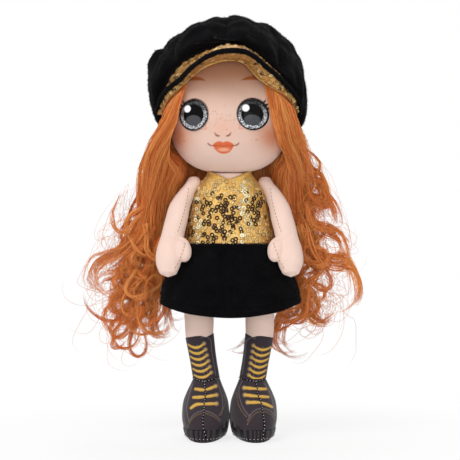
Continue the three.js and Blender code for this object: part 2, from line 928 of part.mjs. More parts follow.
function backHair() {
  const tips = backTips.map(([x, reach], i) =>
    curlGeometry({
      points: backTipPoints(x, reach, i % 2 ? 3 : -3),
      wide: 8,
      thick: 4,
      wideAxis: [1, 0, 0],
    }),
  );
  const parts = [fallGeometry(backFall), ...tips];
  return unite(parts.map((part) => solidOf(part, hairGroup)));
}

// The space that the cap takes, from its band's lower edge up.
function capZone(grow) {
  const height = 3 * crownHeight;
  const radius = 1.3 * crownHalfX;
  const zone = new THREE.CylinderGeometry(radius, radius, height, 32);
  zone.rotateX(Math.PI / 2);
  return zone.translate(0, 0, height / 2 - bandBelow - grow);
}

// Hair under the cap: a flat layer over the head, trimmed at the band's lower edge.
function scalpSolid() {
  const layer = solidOf(headGeometry(seamGap + scalpThickness - 0.2), head);
  return layer.subtract(solidOf(headGeometry(seamGap), head)).intersect(solidOf(capZone(-0.3), cap));
}

// What hair stays clear of, as one solid.
function hairKeepOut() {
  const clothes = loft(
    [waistRise, ...torsoX.slice(5).map(([rise]) => rise), neckRise + collarRise].map((rise) =>
      torsoRing(rise, topThickness + seamGap + looseGap),
    ),
  );
  const solids = [
    solidOf(headGeometry(seamGap), head),
    solidOf(capZone(looseGap), cap),
    solidOf(clothes, doll),
    solidOf(torsoGeometry(seamGap), doll),
    solidOf(skirtBlock(looseGap), doll),
    solidOf(bindingZone(), cap),
  ];
  for (const [name, side] of sides) {
    solids.push(solidOf(eyeZone(side), head));
    solids.push(armSolid(side, arms[name], looseGap));
    solids.push(solidOf(legGeometry(side, looseGap), legs[name]));
  }
  return unite(solids);
}

// A block round the visor and its binding.
function bindingZone() {
  const sections = visorTurns.map((turn) => {
    const edge = visorEdgeAt(turn);
    const outward = new THREE.Vector3(edge.x, edge.y, 0).normalize();
    const far = edge.clone().addScaledVector(outward, seamGap + bindingDepth + looseGap);
    const near = outward.clone().multiplyScalar(0.9 * Math.hypot(edge.x, edge.y) - 12);
    const half = bindingHeight / 2 + looseGap;
    return [
      near.clone().setZ(-bandBelow - looseGap),
      far.clone().setZ(edge.z - half),
      far.clone().setZ(edge.z + half),
      near.clone().setZ(crownHemFront),
    ];
  });
  return loft(sections);
}

// Body
const socketSolids = sides.map(([name, side]) =>
  solidOf(armGeometry(side, seamGap), arms[name]).add(
    solidOf(new THREE.SphereGeometry(armRootRadius + seamGap, 20, 12), arms[name]),
  ),
);
const torsoSolid = solidOf(torsoGeometry(), doll).subtract(unite(socketSolids));
addMesh(doll, "torso", geometryOf(torsoSolid, doll), "skin");

const armholes = sides.map(([name]) =>
  solidOf(new THREE.SphereGeometry(armRootRadius + armholeMargin, 20, 12), arms[name]),
);
const topSolid = solidOf(topGeometry(), doll)
  .subtract(unite([...armholes, ...socketSolids]))
  .subtract(solidOf(necklineWedge(), doll));
addMesh(doll, "sequin_top", geometryOf(topSolid, doll), "sequins");
addMesh(doll, "plush_skirt", skirtGeometry(), "plush");

for (const [name, side] of sides) {
  addMesh(arms[name], `arm_${name}`, geometryOf(armSolid(side, arms[name]), arms[name]), "skin");
  addMesh(legs[name], `leg_${name}`, legGeometry(side), "skin");
  addMesh(legs[name], `boot_shaft_${name}`, shaftGeometry(side), "boot");
  addMesh(feet[name], `boot_foot_${name}`, footGeometry(), "boot");
  addMesh(feet[name], `boot_sole_${name}`, soleGeometry(), "sole");
  addMesh(head, `eye_${name}`, eyeGeometry(side), "eye");
}

addMesh(head, "head", headGeometry(), "skin");
addMesh(cap, "cap_band", bandGeometry(), "sequins");
addMesh(cap, "cap_crown", crownGeometry(), "plush");
addMesh(cap, "cap_visor", visorGeometry(), "sequins");
addMesh(cap, "visor_binding", bindingGeometry(), "plush");

// Hair, trimmed to what it lies on
const keepOut = hairKeepOut();
addMesh(head, "hair_scalp", geometryOf(scalpSolid(), head), "hair");
for (const [name] of sides) {
  const solid = sideHair(name).subtract(keepOut);
  addMesh(hairGroup, `hair_side_${name}`, geometryOf(solid, hairGroup), "hair");
}
const sideZones = unite(sides.map(([name]) => sideHair(name, seamGap)));
const backSolid = backHair().subtract(unite([keepOut, sideZones]));
addMesh(hairGroup, "hair_back", geometryOf(backSolid, hairGroup), "hair");

// The origin goes under the middle of the doll's box, on the floor.
doll.updateMatrixWorld(true);
const box = new THREE.Box3().setFromObject(doll, true);
const middle = box.getCenter(new THREE.Vector3());
doll.position.set(-middle.x, -middle.y, -box.min.z);

export default doll;
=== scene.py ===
"""The looks of a standing soft doll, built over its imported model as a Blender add-on.

Shapes are worked out in millimetres in the doll's own coordinates: the floor is z = 0, the torso's
axis is x = y = 0, the doll faces -Y and its left side is +X. place() turns them to metres.
"""

import math

import bpy
import numpy as np
from bpy.props import FloatProperty, FloatVectorProperty, IntProperty, PointerProperty
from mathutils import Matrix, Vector
from mathutils.bvhtree import BVHTree


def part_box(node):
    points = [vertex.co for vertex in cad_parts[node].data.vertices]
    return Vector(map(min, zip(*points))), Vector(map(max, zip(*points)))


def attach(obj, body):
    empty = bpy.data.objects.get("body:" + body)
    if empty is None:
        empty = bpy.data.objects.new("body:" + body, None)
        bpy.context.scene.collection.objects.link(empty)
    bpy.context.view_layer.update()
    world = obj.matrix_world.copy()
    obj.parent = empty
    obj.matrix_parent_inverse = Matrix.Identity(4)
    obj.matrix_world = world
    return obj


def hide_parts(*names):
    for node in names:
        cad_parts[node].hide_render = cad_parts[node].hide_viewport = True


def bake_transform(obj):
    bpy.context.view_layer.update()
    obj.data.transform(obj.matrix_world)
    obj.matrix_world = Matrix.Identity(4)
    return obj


bl_info = {
    "name": "Soft Doll",
    "version": (1, 0, 0),
    "blender": (4, 5, 0),
    "location": "3D View > Sidebar > Soft Doll",
    "description": "Builds a stuffed fashion doll with curled hair, a sequin top and a puffy cap",
    "category": "Add Mesh",
}

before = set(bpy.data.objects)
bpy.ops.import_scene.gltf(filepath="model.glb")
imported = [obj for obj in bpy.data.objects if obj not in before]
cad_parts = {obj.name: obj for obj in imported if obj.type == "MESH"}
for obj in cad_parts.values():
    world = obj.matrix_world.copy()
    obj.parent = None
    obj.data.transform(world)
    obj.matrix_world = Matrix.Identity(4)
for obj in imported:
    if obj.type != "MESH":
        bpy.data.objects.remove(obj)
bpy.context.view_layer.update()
TORSO_BOX = np.array(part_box("torso")) * 1000
OFFSET = np.array([*TORSO_BOX.mean(0)[:2], 0])
SIDES = (("left", 1), ("right", -1))
TURN = 2 * math.pi

# The photograph: millimetres a pixel in the plane of the body, its middle in pixels, and the
# camera's height and distance in millimetres.
PIXEL, MIDDLE_PX, MIDDLE_PY, CAMERA_Z, CAMERA_AWAY = 0.66, 229.5, 230, 136, 1000


# Settings


def linear(code):
    """A colour written as sRGB hex, as linear red, green, blue and alpha."""
    parts = [int(code[i : i + 2], 16) / 255 for i in (1, 3, 5)]
    parts = [c / 12.92 if c <= 0.04045 else ((c + 0.055) / 1.055) ** 2.4 for c in parts]
    return (*parts, 1)


def colour(name, text, code):
    """A colour setting whose default is an sRGB hex value."""
    return FloatVectorProperty(
        name=name, description=text, default=linear(code), subtype="COLOR", size=4, min=0, max=1
    )


def size(name, text, millimetres):
    """A length setting whose default is given in millimetres."""
    return FloatProperty(
        name=name, description=text, default=millimetres / 1000, unit="LENGTH", min=0, precision=5
    )


class DollColours(bpy.types.PropertyGroup):
    skin: colour("Skin", "Peach knit of the body", "#EFD2C4")
    lips: colour("Lips", "Printed mouth", "#DA6A40")
    brows: colour("Brows", "Printed eyebrows", "#A05A2C")
    hair: colour("Hair", "Middle tone of the fibre", "#E47A30")
    hair_light: colour("Hair light", "Palest strands", "#FFB262")
    # Hair dark also colours the under layers of the falls, as painted shade.
    hair_dark: colour("Hair dark", "Deepest strands and the layers below", "#B05024")
    plush: colour("Plush", "Black pile of cap and skirt", "#0B0A0C")
    gold: colour("Gold", "Gold cloth, most of the sequins and the printed laces", "#D9AA4C")
    # Pale gold and dark gold are painted reflection on the sequins, and pale gold also the lame's painted
    # glints.
    gold_pale: colour("Pale gold", "Sequins that catch the light", "#FBF3CC")
    gold_dark: colour("Dark gold", "Sequins turned away from the light", "#38210F")
    boot: colour("Boot", "Printed charcoal knit", "#362D33")
    sole: colour("Sole", "Ribbed fabric of the soles", "#2A2528")


class DollSizes(bpy.types.PropertyGroup):
    strand: size("Strand", "Thickness of a drawn hair strand at its root", 0.36)
    sequin: size("Sequin", "Diameter of a ring sequin", 3.0)
    pile: size("Pile", "Length of the plush's fibres", 1.3)
    wrinkle: size("Wrinkle", "Depth of the cap's soft dents", 1.0)
    hair_density: FloatProperty(
        name="Hair density", description="Share of the full number of strands", default=1.0,
        min=0.1, max=1.0, subtype="FACTOR",
    )
    sole_ribs: IntProperty(
        name="Sole ribs", description="Ribs round each sole", default=22, min=12, max=120
    )


# Meshes


def place(points):
    """Doll coordinates in millimetres as the frame's metres."""
    return (np.asarray(points) + OFFSET) / 1000


def around(count):
    """Angles of a full turn in even steps."""
    return np.linspace(0, TURN, count, endpoint=False)


def grid_faces(rows, columns, close=False):
    """Quads between neighbouring points of a grid whose columns join round; close joins its rows."""
    r = np.arange(rows if close else rows - 1)[:, None]
    c = np.arange(columns)[None, :]
    r2, c2 = (r + 1) % rows, (c + 1) % columns
    corners = (r * columns + c, r * columns + c2, r2 * columns + c2, r2 * columns + c)
    return np.stack(np.broadcast_arrays(*corners), -1).reshape(-1, 4)


def fan_faces(rows, columns):
    """Triangles from a grid's first and last ring to the two poles that follow its points."""
    here = np.arange(columns)
    after = np.roll(here, -1)
    last = (rows - 1) * columns
    first_fan = np.stack([after, here, np.full(columns, rows * columns)], -1)
    last_fan = np.stack([here + last, after + last, np.full(columns, rows * columns + 1)], -1)
    return np.concatenate([first_fan, last_fan])


def loft(rings, poles=None):
    """A closed surface over rings (rows, columns, 3): quads between them and a fan from each end
    ring to its pole, which is the ring's mean if none is given."""
    rows, columns = rings.shape[:2]
    ends = rings[[0, -1]].mean(1) if poles is None else np.asarray(poles, float)
    points = np.concatenate([rings.reshape(-1, 3), ends])
    return points, [grid_faces(rows, columns), fan_faces(rows, columns)]


def joined(parts):
    """Several (points, faces) as one."""
    points, faces, start = [], [], 0
    for part_points, part_faces in parts:
        points.append(part_points)
        faces += [f + start for f in part_faces]
        start += len(part_points)
    return np.concatenate(points), faces


def signed_volume(points, faces):
    """Six times the volume inside: the sum of each face triangle's triple product."""
    total = 0.0
    for f in faces:
        for k in range(1, f.shape[1] - 1):
            a, b, c = points[f[:, 0]], points[f[:, k]], points[f[:, k + 1]]
            total += np.einsum("ij,ij->", a, np.cross(b, c))
    return total


def build(name, surface, finish, **attributes):
    """A mesh object of a closed surface (points, faces) in one of the doll's finishes, with its
    faces turned outwards and a point attribute for each named array: colours if it has four columns,
    else numbers."""
    points, faces = surface
    if signed_volume(points - points.mean(0), faces) < 0:
        faces = [f[:, ::-1] for f in faces]
    mesh = bpy.data.meshes.new(name)
    sizes = np.concatenate([np.full(len(f), f.shape[1]) for f in faces])
    corners = np.concatenate([f.ravel() for f in faces]).astype(np.int32)
    mesh.vertices.add(len(points))
    mesh.vertices.foreach_set("co", place(points).astype(np.float32).ravel())
    mesh.loops.add(len(corners))
    mesh.loops.foreach_set("vertex_index", corners)
    mesh.polygons.add(len(sizes))
    starts = np.concatenate([[0], np.cumsum(sizes)[:-1]]).astype(np.int32)
    mesh.polygons.foreach_set("loop_start", starts)
    mesh.update(calc_edges=True)
    mesh.validate()
    mesh.shade_smooth()
    for key, values in attributes.items():
        coloured = values.ndim == 2
        kind = "FLOAT_COLOR" if coloured else "FLOAT"
        attribute = mesh.attributes.new(key, kind, "POINT")
        field = "color" if coloured else "value"
        attribute.data.foreach_set(field, values.astype(np.float32).ravel())
    piece = bpy.data.objects.new(name, mesh)
    bpy.context.scene.collection.objects.link(piece)
    mesh.materials.append(material(finish))
    return piece


def finished(piece, body=None, node=None):
    """Puts a piece on the body it rides on, if one is given, and hides the node it stands for."""
    if body:
        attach(piece, body)
    if node:
        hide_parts(node)


def unit(v):
    """Vectors at length one."""
    return v / np.maximum(np.linalg.norm(v, axis=-1, keepdims=True), 1e-9)


def hermite(t, a, slope_a, b, slope_b, span=1):
    """A cubic from a to b as t goes from 0 to 1, with the slopes given at its ends over a span."""
    return (
        (2 * t**3 - 3 * t**2 + 1) * a
        + (t**3 - 2 * t**2 + t) * span * slope_a
        + (3 * t**2 - 2 * t**3) * b
        + (t**3 - t**2) * span * slope_b
    )


def through(stations, at):
    """A table of stations [position, values...] at many positions, on a smooth curve: cubic pieces
    between stations whose slopes are the stations' finite differences."""
    table = np.asarray(stations, float)
    x, v = table[:, 0], table[:, 1:]
    slope = np.gradient(v, x, axis=0)
    i = np.clip(np.searchsorted(x, at) - 1, 0, len(x) - 2)
    h = (x[i + 1] - x[i])[..., None]
    t = np.clip((at - x[i])[..., None] / h, 0, 1)
    return hermite(t, v[i], slope[i], v[i + 1], slope[i + 1], h)


def curve(points, at):
    """Points on a smooth curve through the given ones, at shares 0 to 1 of its length."""
    points = np.asarray(points, float)
    steps = np.linalg.norm(np.diff(points, axis=0), axis=1)
    share = np.concatenate([[0], np.cumsum(steps)]) / steps.sum()
    return through(np.column_stack([share, points]), np.asarray(at))


def arc_of(path):
    """Length along a path up to each of its points."""
    return np.concatenate([[0], np.cumsum(np.linalg.norm(np.diff(path, axis=0), axis=1))])


def on_path(at, arc, values):
    """Points or normals of a path at lengths along it."""
    return np.stack([np.interp(at, arc, values[:, j]) for j in range(3)], -1)


def superellipse(angles, power):
    """Directions round a superellipse of half sizes one: |x|^p + |y|^p = 1."""
    c, s = np.cos(angles), np.sin(angles)
    k = (np.abs(c) ** power + np.abs(s) ** power) ** (-1 / power)
    return c * k, s * k


def ovals(z, half_x, front, back=None, power=2.0, count=64, x=0.0, y=0.0, turns=None):
    """Horizontal oval rings, one for each height: superellipses with a reach to front and back."""
    turns = around(count) if turns is None else turns
    z, half_x, front = (np.atleast_1d(v).astype(float)[:, None] for v in (z, half_x, front))
    back = front if back is None else np.atleast_1d(back)[:, None]
    power, x, y = (np.atleast_1d(v)[:, None] for v in (power, x, y))
    across, deep = superellipse(turns[None, :], power)
    reach = np.where(deep < 0, front, back)
    return np.stack(np.broadcast_arrays(x + across * half_x, y + deep * reach, z), -1)


def ripple(points, length, seed, count=7):
    """A smooth random swell from about -1 to 1: the mean of sine waves in seeded directions."""
    rng = np.random.default_rng(seed)
    directions = unit(rng.normal(size=(count, 3))) / (length * rng.uniform(0.7, 1.5, (count, 1)))
    phase = rng.uniform(0, TURN, count)
    return np.sin(TURN * points @ directions.T + phase).mean(-1) * 1.8


def grid_normals(grid, ring=True):
    """Outward normals of a grid (rows, columns, 3): the cross product of its two slopes."""
    if ring:
        along = np.roll(grid, -1, 1) - np.roll(grid, 1, 1)
    else:
        along = np.gradient(grid, axis=1)
    normal = unit(np.cross(along, np.gradient(grid, axis=0)))
    middle = grid.reshape(-1, 3).mean(0)
    return normal if np.einsum("ijk,ijk->", normal, grid - middle) > 0 else -normal


def section_axes(lines, wide_axis=(0, 1, 0)):
    """The direction of many lines (n, m, 3) and the two square to it, the first of them nearest to
    the wide axis."""
    tangent = unit(np.gradient(lines, axis=1))
    axis = np.broadcast_to(np.asarray(wide_axis, float), lines.shape)
    across = unit(axis - (axis * tangent).sum(-1, keepdims=True) * tangent + 1e-6)
    return tangent, across, np.cross(tangent, across)


def tubes(paths, radii, sides=3, wide_axis=(0, 1, 0)):
    """Closed tubes along many paths (n, m, 3): rings of the given radii (n, m) square to each path,
    closed by a point at each end."""
    n, m = paths.shape[:2]
    tangent, across, off = section_axes(paths, wide_axis)
    a = np.arange(sides) * TURN / sides
    ring = np.cos(a)[:, None] * across[:, :, None] + np.sin(a)[:, None] * off[:, :, None]
    rings = paths[:, :, None, :] + ring * radii[:, :, None, None]
    tips = paths[:, [0, -1]] + tangent[:, [0, -1]] * radii[:, [0, -1], None] * [[[-1], [1]]]
    points = np.concatenate([rings.reshape(n, -1, 3), tips], 1)
    step = (np.arange(n) * (m * sides + 2))[:, None, None]
    quads, fans = grid_faces(m, sides) + step, fan_faces(m, sides) + step
    return points.reshape(-1, 3), [quads.reshape(-1, 4), fans.reshape(-1, 3)]


# Materials


def add(tree, kind, inputs=None, **settings):
    """Adds a shader node with its settings, and sets or links its inputs."""
    node = tree.nodes.new(kind)
    for key, value in settings.items():
        setattr(node, key, value)
    for key, value in (inputs or {}).items():
        if isinstance(value, bpy.types.NodeSocket):
            tree.links.new(value, node.inputs[key])
        else:
            node.inputs[key].default_value = value
    return node


def finish_material(name, **constants):
    """A new material with a Principled shader whose constant sockets are set."""
    made = bpy.data.materials.new(name)
    made.use_nodes = True
    tree = made.node_tree
    shader = tree.nodes["Principled BSDF"]
    for key, value in constants.items():
        shader.inputs[key.replace("_", " ")].default_value = value
    return made, tree, shader


def bump(tree, shader, height, strength, distance):
    """Links a height to the shader's normal through a bump of the given depth in metres."""
    node = add(tree, "ShaderNodeBump", {"Height": height, "Strength": strength, "Distance": distance})
    tree.links.new(node.outputs["Normal"], shader.inputs["Normal"])


def tinted(tree, base, noise, dark, light):
    """The base colour times a grey that runs from dark to light with the noise."""
    ramp = add(tree, "ShaderNodeMapRange", {"Value": noise, "To Min": dark, "To Max": light})
    return add(
        tree, "ShaderNodeMix", {0: 1.0, 6: base, 7: ramp.outputs[0]},
        data_type="RGBA", blend_type="MULTIPLY",
    ).outputs[2]


def knit_material(name):
    """Brushed polyester tricot, printed: a soft matt face whose fine wales show only as a slight
    unevenness, with a faint fuzz at grazing angles. Its wales are 0.35 mm apart on the real cloth
    and are drawn at 0.7 mm, or they would be too fine to show."""
    made, tree, shader = finish_material(
        name, Roughness=0.85, Sheen_Weight=0.25, Sheen_Roughness=0.4, Specular_IOR_Level=0.25
    )
    place_on = add(tree, "ShaderNodeTexCoord").outputs["Object"]
    paint = add(tree, "ShaderNodeAttribute", attribute_name="paint")
    blotch = add(tree, "ShaderNodeTexNoise", {"Vector": place_on, "Scale": 90.0, "Detail": 3.0})
    shade = tinted(tree, paint.outputs["Color"], blotch.outputs[0], 0.95, 1.04)
    tree.links.new(shade, shader.inputs["Base Color"])
    wales = add(
        tree, "ShaderNodeTexWave", {"Vector": place_on, "Scale": 230.0, "Distortion": 3.0},
        bands_direction="X",
    )
    grain = add(tree, "ShaderNodeTexNoise", {"Vector": place_on, "Scale": 1500.0, "Detail": 2.0})
    both = add(tree, "ShaderNodeMath", {0: wales.outputs["Fac"], 1: grain.outputs[0]}, operation="ADD")
    bump(tree, shader, both.outputs[0], 0.22, 0.00012)
    return made


def plush_material(base):
    """Knitted velvet with a short black pile: it drinks the light, and only the nap's brushed
    streaks show as a slightly paler black. The nap's scale is 9 mm and the pile's 0.5 mm."""
    made, tree, shader = finish_material(
        "black_velour_plush", Roughness=1.0, Sheen_Weight=0.04, Sheen_Roughness=0.5,
        Specular_IOR_Level=0.02,
    )
    place_on = add(tree, "ShaderNodeTexCoord").outputs["Object"]
    brushed = add(tree, "ShaderNodeTexNoise", {"Vector": place_on, "Scale": 110.0, "Detail": 4.0})
    tree.links.new(
        tinted(tree, base, brushed.outputs[0], 0.4, 1.9), shader.inputs["Base Color"]
    )
    pile = add(tree, "ShaderNodeTexNoise", {"Vector": place_on, "Scale": 2000.0, "Detail": 2.0})
    bump(tree, shader, pile.outputs[0], 0.5, 0.0003)
    return made


def sequin_material():
    """Vacuum-metallised polyester film, punched and cupped: bright gold rings that flash or go dark with
    each sequin's tilt. Its tone comes with each sequin, and the pale and dark tones are painted bright and
    dark reflection."""
    made, tree, shader = finish_material("metallised_film_sequins", Metallic=0.55, Roughness=0.36)
    tone = add(tree, "ShaderNodeAttribute", attribute_name="paint")
    tree.links.new(tone.outputs["Color"], shader.inputs["Base Color"])
    place_on = add(tree, "ShaderNodeTexCoord").outputs["Object"]
    facets = add(tree, "ShaderNodeTexNoise", {"Vector": place_on, "Scale": 700.0, "Detail": 1.0})
    bump(tree, shader, facets.outputs[0], 0.15, 0.0002)
    return made


def gold_cloth_material(pale):
    """Lame tricot under the sequins: gold foil yarn in knit rows of 0.5 mm, with painted glints: specks of
    0.8 mm painted pale. Its yarn is finer on the real cloth and is drawn at twice its size."""
    made, tree, shader = finish_material("gold_lame_tricot", Roughness=0.45, Metallic=0.35)
    place_on = add(tree, "ShaderNodeTexCoord").outputs["Object"]
    paint = add(tree, "ShaderNodeAttribute", attribute_name="paint")
    yarn = add(tree, "ShaderNodeTexNoise", {"Vector": place_on, "Scale": 1900.0, "Detail": 2.0})
    # Painted glints: pale specks mixed into the cloth's colour.
    specks = add(tree, "ShaderNodeTexVoronoi", {"Vector": place_on, "Scale": 1300.0})
    painted_glint = add(
        tree, "ShaderNodeMapRange",
        {"Value": specks.outputs["Color"], "From Min": 0.6, "From Max": 1.0, "To Max": 0.6},
    )
    shade = tinted(tree, paint.outputs["Color"], yarn.outputs[0], 0.55, 1.35)
    mix = add(tree, "ShaderNodeMix", {0: painted_glint.outputs[0], 6: shade, 7: pale}, data_type="RGBA")
    tree.links.new(mix.outputs[2], shader.inputs["Base Color"])
    bump(tree, shader, yarn.outputs[0], 0.6, 0.0003)
    return made


def hair_material():
    """Heat-set nylon fibre: satin strands with a broad soft gleam across each curl. Each strand brings its
    own tone."""
    made, tree, shader = finish_material(
        "satin_nylon_fibre", Roughness=0.38, Specular_IOR_Level=0.4, Sheen_Weight=0.1
    )
    tone = add(tree, "ShaderNodeAttribute", attribute_name="paint")
    tree.links.new(tone.outputs["Color"], shader.inputs["Base Color"])
    return made


def core_material(dark, base):
    """The under layers of the same fibre, seen between the strands: darker as painted shade, and streaked
    along their length, with streaks of 1 mm."""
    made, tree, shader = finish_material("fibre_under_layers", Roughness=0.6)
    place_on = add(tree, "ShaderNodeTexCoord").outputs["Object"]
    stretched = add(tree, "ShaderNodeMapping", {"Vector": place_on, "Scale": (1.0, 1.0, 0.12)})
    streaks = add(
        tree, "ShaderNodeTexNoise", {"Vector": stretched.outputs[0], "Scale": 1000.0, "Detail": 2.0}
    )
    mix = add(tree, "ShaderNodeMix", {0: streaks.outputs[0], 6: dark, 7: base}, data_type="RGBA")
    tree.links.new(mix.outputs[2], shader.inputs["Base Color"])
    bump(tree, shader, streaks.outputs[0], 0.6, 0.0006)
    return made


def eye_material():
    """A cast clear epoxy dome over a glitter print: wet gloss, with silver flakes of 0.3 mm that
    sparkle in the ring."""
    made, tree, shader = finish_material(
        "epoxy_dome_eye", Roughness=0.1, Specular_IOR_Level=0.05, Coat_Weight=0.03,
        Coat_Roughness=0.03,
    )
    paint = add(tree, "ShaderNodeAttribute", attribute_name="paint")
    glitter = add(tree, "ShaderNodeAttribute", attribute_name="glitter")
    place_on = add(tree, "ShaderNodeTexCoord").outputs["Object"]
    flakes = add(tree, "ShaderNodeTexVoronoi", {"Vector": place_on, "Scale": 1500.0})
    bright = add(
        tree, "ShaderNodeMapRange",
        {"Value": flakes.outputs["Color"], "From Min": 0.35, "From Max": 0.75, "To Max": 1.0},
    )
    share = add(
        tree, "ShaderNodeMath", {0: bright.outputs[0], 1: glitter.outputs["Fac"]}, operation="MULTIPLY"
    )
    mix = add(
        tree, "ShaderNodeMix",
        {0: share.outputs[0], 6: paint.outputs["Color"], 7: linear("#DDE0E4")}, data_type="RGBA",
    )
    tree.links.new(mix.outputs[2], shader.inputs["Base Color"])
    return made


def sole_material():
    """Bonded rib knit: wide pale ribs between dark grooves, with a dull sheen."""
    made, tree, shader = finish_material("bonded_rib_sole", Roughness=0.55, Specular_IOR_Level=0.2)
    paint = add(tree, "ShaderNodeAttribute", attribute_name="paint")
    place_on = add(tree, "ShaderNodeTexCoord").outputs["Object"]
    worn = add(tree, "ShaderNodeTexNoise", {"Vector": place_on, "Scale": 300.0, "Detail": 3.0})
    tree.links.new(
        tinted(tree, paint.outputs["Color"], worn.outputs[0], 0.75, 1.25),
        shader.inputs["Base Color"],
    )
    bump(tree, shader, worn.outputs[0], 0.2, 0.0002)
    return made


def thread_material(name, code):
    """Spun polyester thread: a matt cord whose twist shows as fine slanting ridges."""
    made, tree, shader = finish_material(name, Roughness=0.8, Specular_IOR_Level=0.1)
    place_on = add(tree, "ShaderNodeTexCoord").outputs["Object"]
    twist = add(
        tree, "ShaderNodeTexWave", {"Vector": place_on, "Scale": 600.0}, bands_direction="DIAGONAL"
    )
    tree.links.new(
        tinted(tree, linear(code), twist.outputs["Fac"], 0.8, 1.15), shader.inputs["Base Color"]
    )
    bump(tree, shader, twist.outputs["Fac"], 0.4, 0.0001)
    return made


MADE = {}


def material(key):
    """The doll's materials, each made once from the scene's colours."""
    if key not in MADE:
        c = bpy.context.scene.doll_colours
        makers = {
            "skin": lambda: knit_material("peach_brushed_tricot"),
            "boot": lambda: knit_material("printed_charcoal_tricot"),
            "plush": lambda: plush_material(c.plush),
            "sequin": sequin_material,
            "cloth": lambda: gold_cloth_material(c.gold_pale),
            "hair": hair_material,
            "core": lambda: core_material(c.hair_dark, c.hair),
            "eye": eye_material,
            "sole": sole_material,
            "brown_thread": lambda: thread_material("brown_topstitch_thread", "#A8876F"),
            "black_thread": lambda: thread_material("black_seam_thread", "#0D0C0E"),
            "white_thread": lambda: thread_material("white_seam_thread", "#CFCBCE"),
        }
        MADE[key] = makers[key]()
    return MADE[key]


def tone_of(code):
    """A colour setting or an sRGB hex value as an array."""
    return np.array(linear(code) if isinstance(code, str) else code, float)


def flat_paint(points, code):
    """One colour for every point, as an attribute that other paint can go over."""
    return np.tile(tone_of(code), (len(points), 1))


def soft(distance, blur):
    """1 inside an edge, 0 outside, over a soft border of the given width."""
    return np.clip(0.5 - distance / blur, 0, 1)


def over(paint, cover, code):
    """Lays a colour over the paint where cover is 1."""
    paint += (tone_of(code) - paint) * np.clip(cover, 0, 1)[:, None]


def segment_gap(x, z, start, end):
    """Distance in x and z to a segment, and the share of the way along it of the nearest place."""
    dx, dz = end[0] - start[0], end[1] - start[1]
    t = np.clip(((x - start[0]) * dx + (z - start[1]) * dz) / (dx * dx + dz * dz), 0, 1)
    return np.hypot(x - start[0] - t * dx, z - start[1] - t * dz), t


def stroke(x, z, points, widths, blur=0.5):
    """Cover of a brush line through points whose width changes along it: the distance to the
    nearest segment, less half the width there."""
    best = np.full(x.shape, 1e9)
    for start, end, w0, w1 in zip(points, points[1:], widths, widths[1:]):
        away, t = segment_gap(x, z, start, end)
        best = np.minimum(best, away - (w0 + (w1 - w0) * t) / 2)
    return soft(best, blur)


# Shapes shared by pieces

HEAD_Z = 213.4
HEAD_TURN = math.radians(-7.5)
HEAD_X, HEAD_FRONT, HEAD_BACK, HEAD_BELOW, HEAD_ABOVE = 39.8, 34.0, 36.0, 40.0, 41.0
PLAN, RISE, JAW = 2.3, 2.2, 2.55
EYE_X, EYE_Z, EYE_R = 19.0, -3.8, 9.7


def turned(points, angle):
    """Points turned about the z axis."""
    c, s = math.cos(angle), math.sin(angle)
    x, y = points[..., 0], points[..., 1]
    return np.stack([c * x - s * y, s * x + c * y, points[..., 2]], -1)


def tilted(points, angle):
    """Points turned about the x axis."""
    c, s = math.cos(angle), math.sin(angle)
    x, y, z = points[..., 0], points[..., 1], points[..., 2]
    return np.stack([x, c * y - s * z, s * y + c * z], -1)


def from_head(points):
    """The head's own coordinates, from its middle, as the doll's."""
    return turned(points, HEAD_TURN) + [0, 0, HEAD_Z]


def to_head(points):
    """The doll's coordinates as the head's."""
    return turned(points - [0, 0, HEAD_Z], -HEAD_TURN)


CAP_TILT, CAP_TURN, CAP_AT = math.radians(36), math.radians(5), np.array([-1.5, 1.0, 3.3])


def cap_to_head(points):
    """The cap's coordinates as the head's: tipped back, turned and set on the head."""
    return turned(tilted(points, -CAP_TILT), CAP_TURN) + CAP_AT


def head_to_cap(points):
    """The head's coordinates as the cap's."""
    return tilted(turned(points - CAP_AT, -CAP_TURN), CAP_TILT)


def from_cap(points):
    """The cap's coordinates as the doll's."""
    return from_head(cap_to_head(points))


def to_cap(points):
    """The doll's coordinates as the cap's."""
    return head_to_cap(to_head(points))


def head_share(points, grow=0.0):
    """The head's superellipsoid: (|x/a|^2.3 + |y/b|^2.3)^(r/2.3) + |z/c|^r, 1 on its skin, where r is
    2.2 above the middle and fuller at the jaw."""
    x, y, z = points[..., 0], points[..., 1], points[..., 2]
    b = np.where(y < 0, HEAD_FRONT, HEAD_BACK) + grow
    c = np.where(z < 0, HEAD_BELOW, HEAD_ABOVE) + grow
    plan = np.abs(x / (HEAD_X + grow)) ** PLAN + np.abs(y / b) ** PLAN
    r = np.where(z < 0, JAW, RISE)
    return plan ** (r / PLAN) + np.abs(z / c) ** r


def head_rings(latitudes, turn, grow=0.0):
    """Rings of the same superellipsoid by latitude in degrees, grown outwards."""
    a = np.radians(latitudes)[:, None]
    r = np.where(a < 0, JAW, RISE)
    wide, rise = np.cos(a) ** (2 / r), np.sign(a) * np.abs(np.sin(a)) ** (2 / r)
    across, deep = superellipse(turn, PLAN)
    reach = np.where(deep < 0, HEAD_FRONT, HEAD_BACK) + grow
    tall = np.where(rise < 0, HEAD_BELOW, HEAD_ABOVE) + grow
    sides = wide * across * (HEAD_X + grow)
    return np.stack(np.broadcast_arrays(sides, wide * deep * reach, rise * tall), -1)


def face_y(x, z):
    """Depth of the face at x and z: the superellipsoid solved for y."""
    c = np.where(z < 0, HEAD_BELOW, HEAD_ABOVE)
    r = np.where(z < 0, JAW, RISE)
    plan = np.maximum(1 - np.abs(z / c) ** r, 0) ** (PLAN / r)
    return -HEAD_FRONT * np.maximum(plan - np.abs(x / HEAD_X) ** PLAN, 0) ** (1 / PLAN)


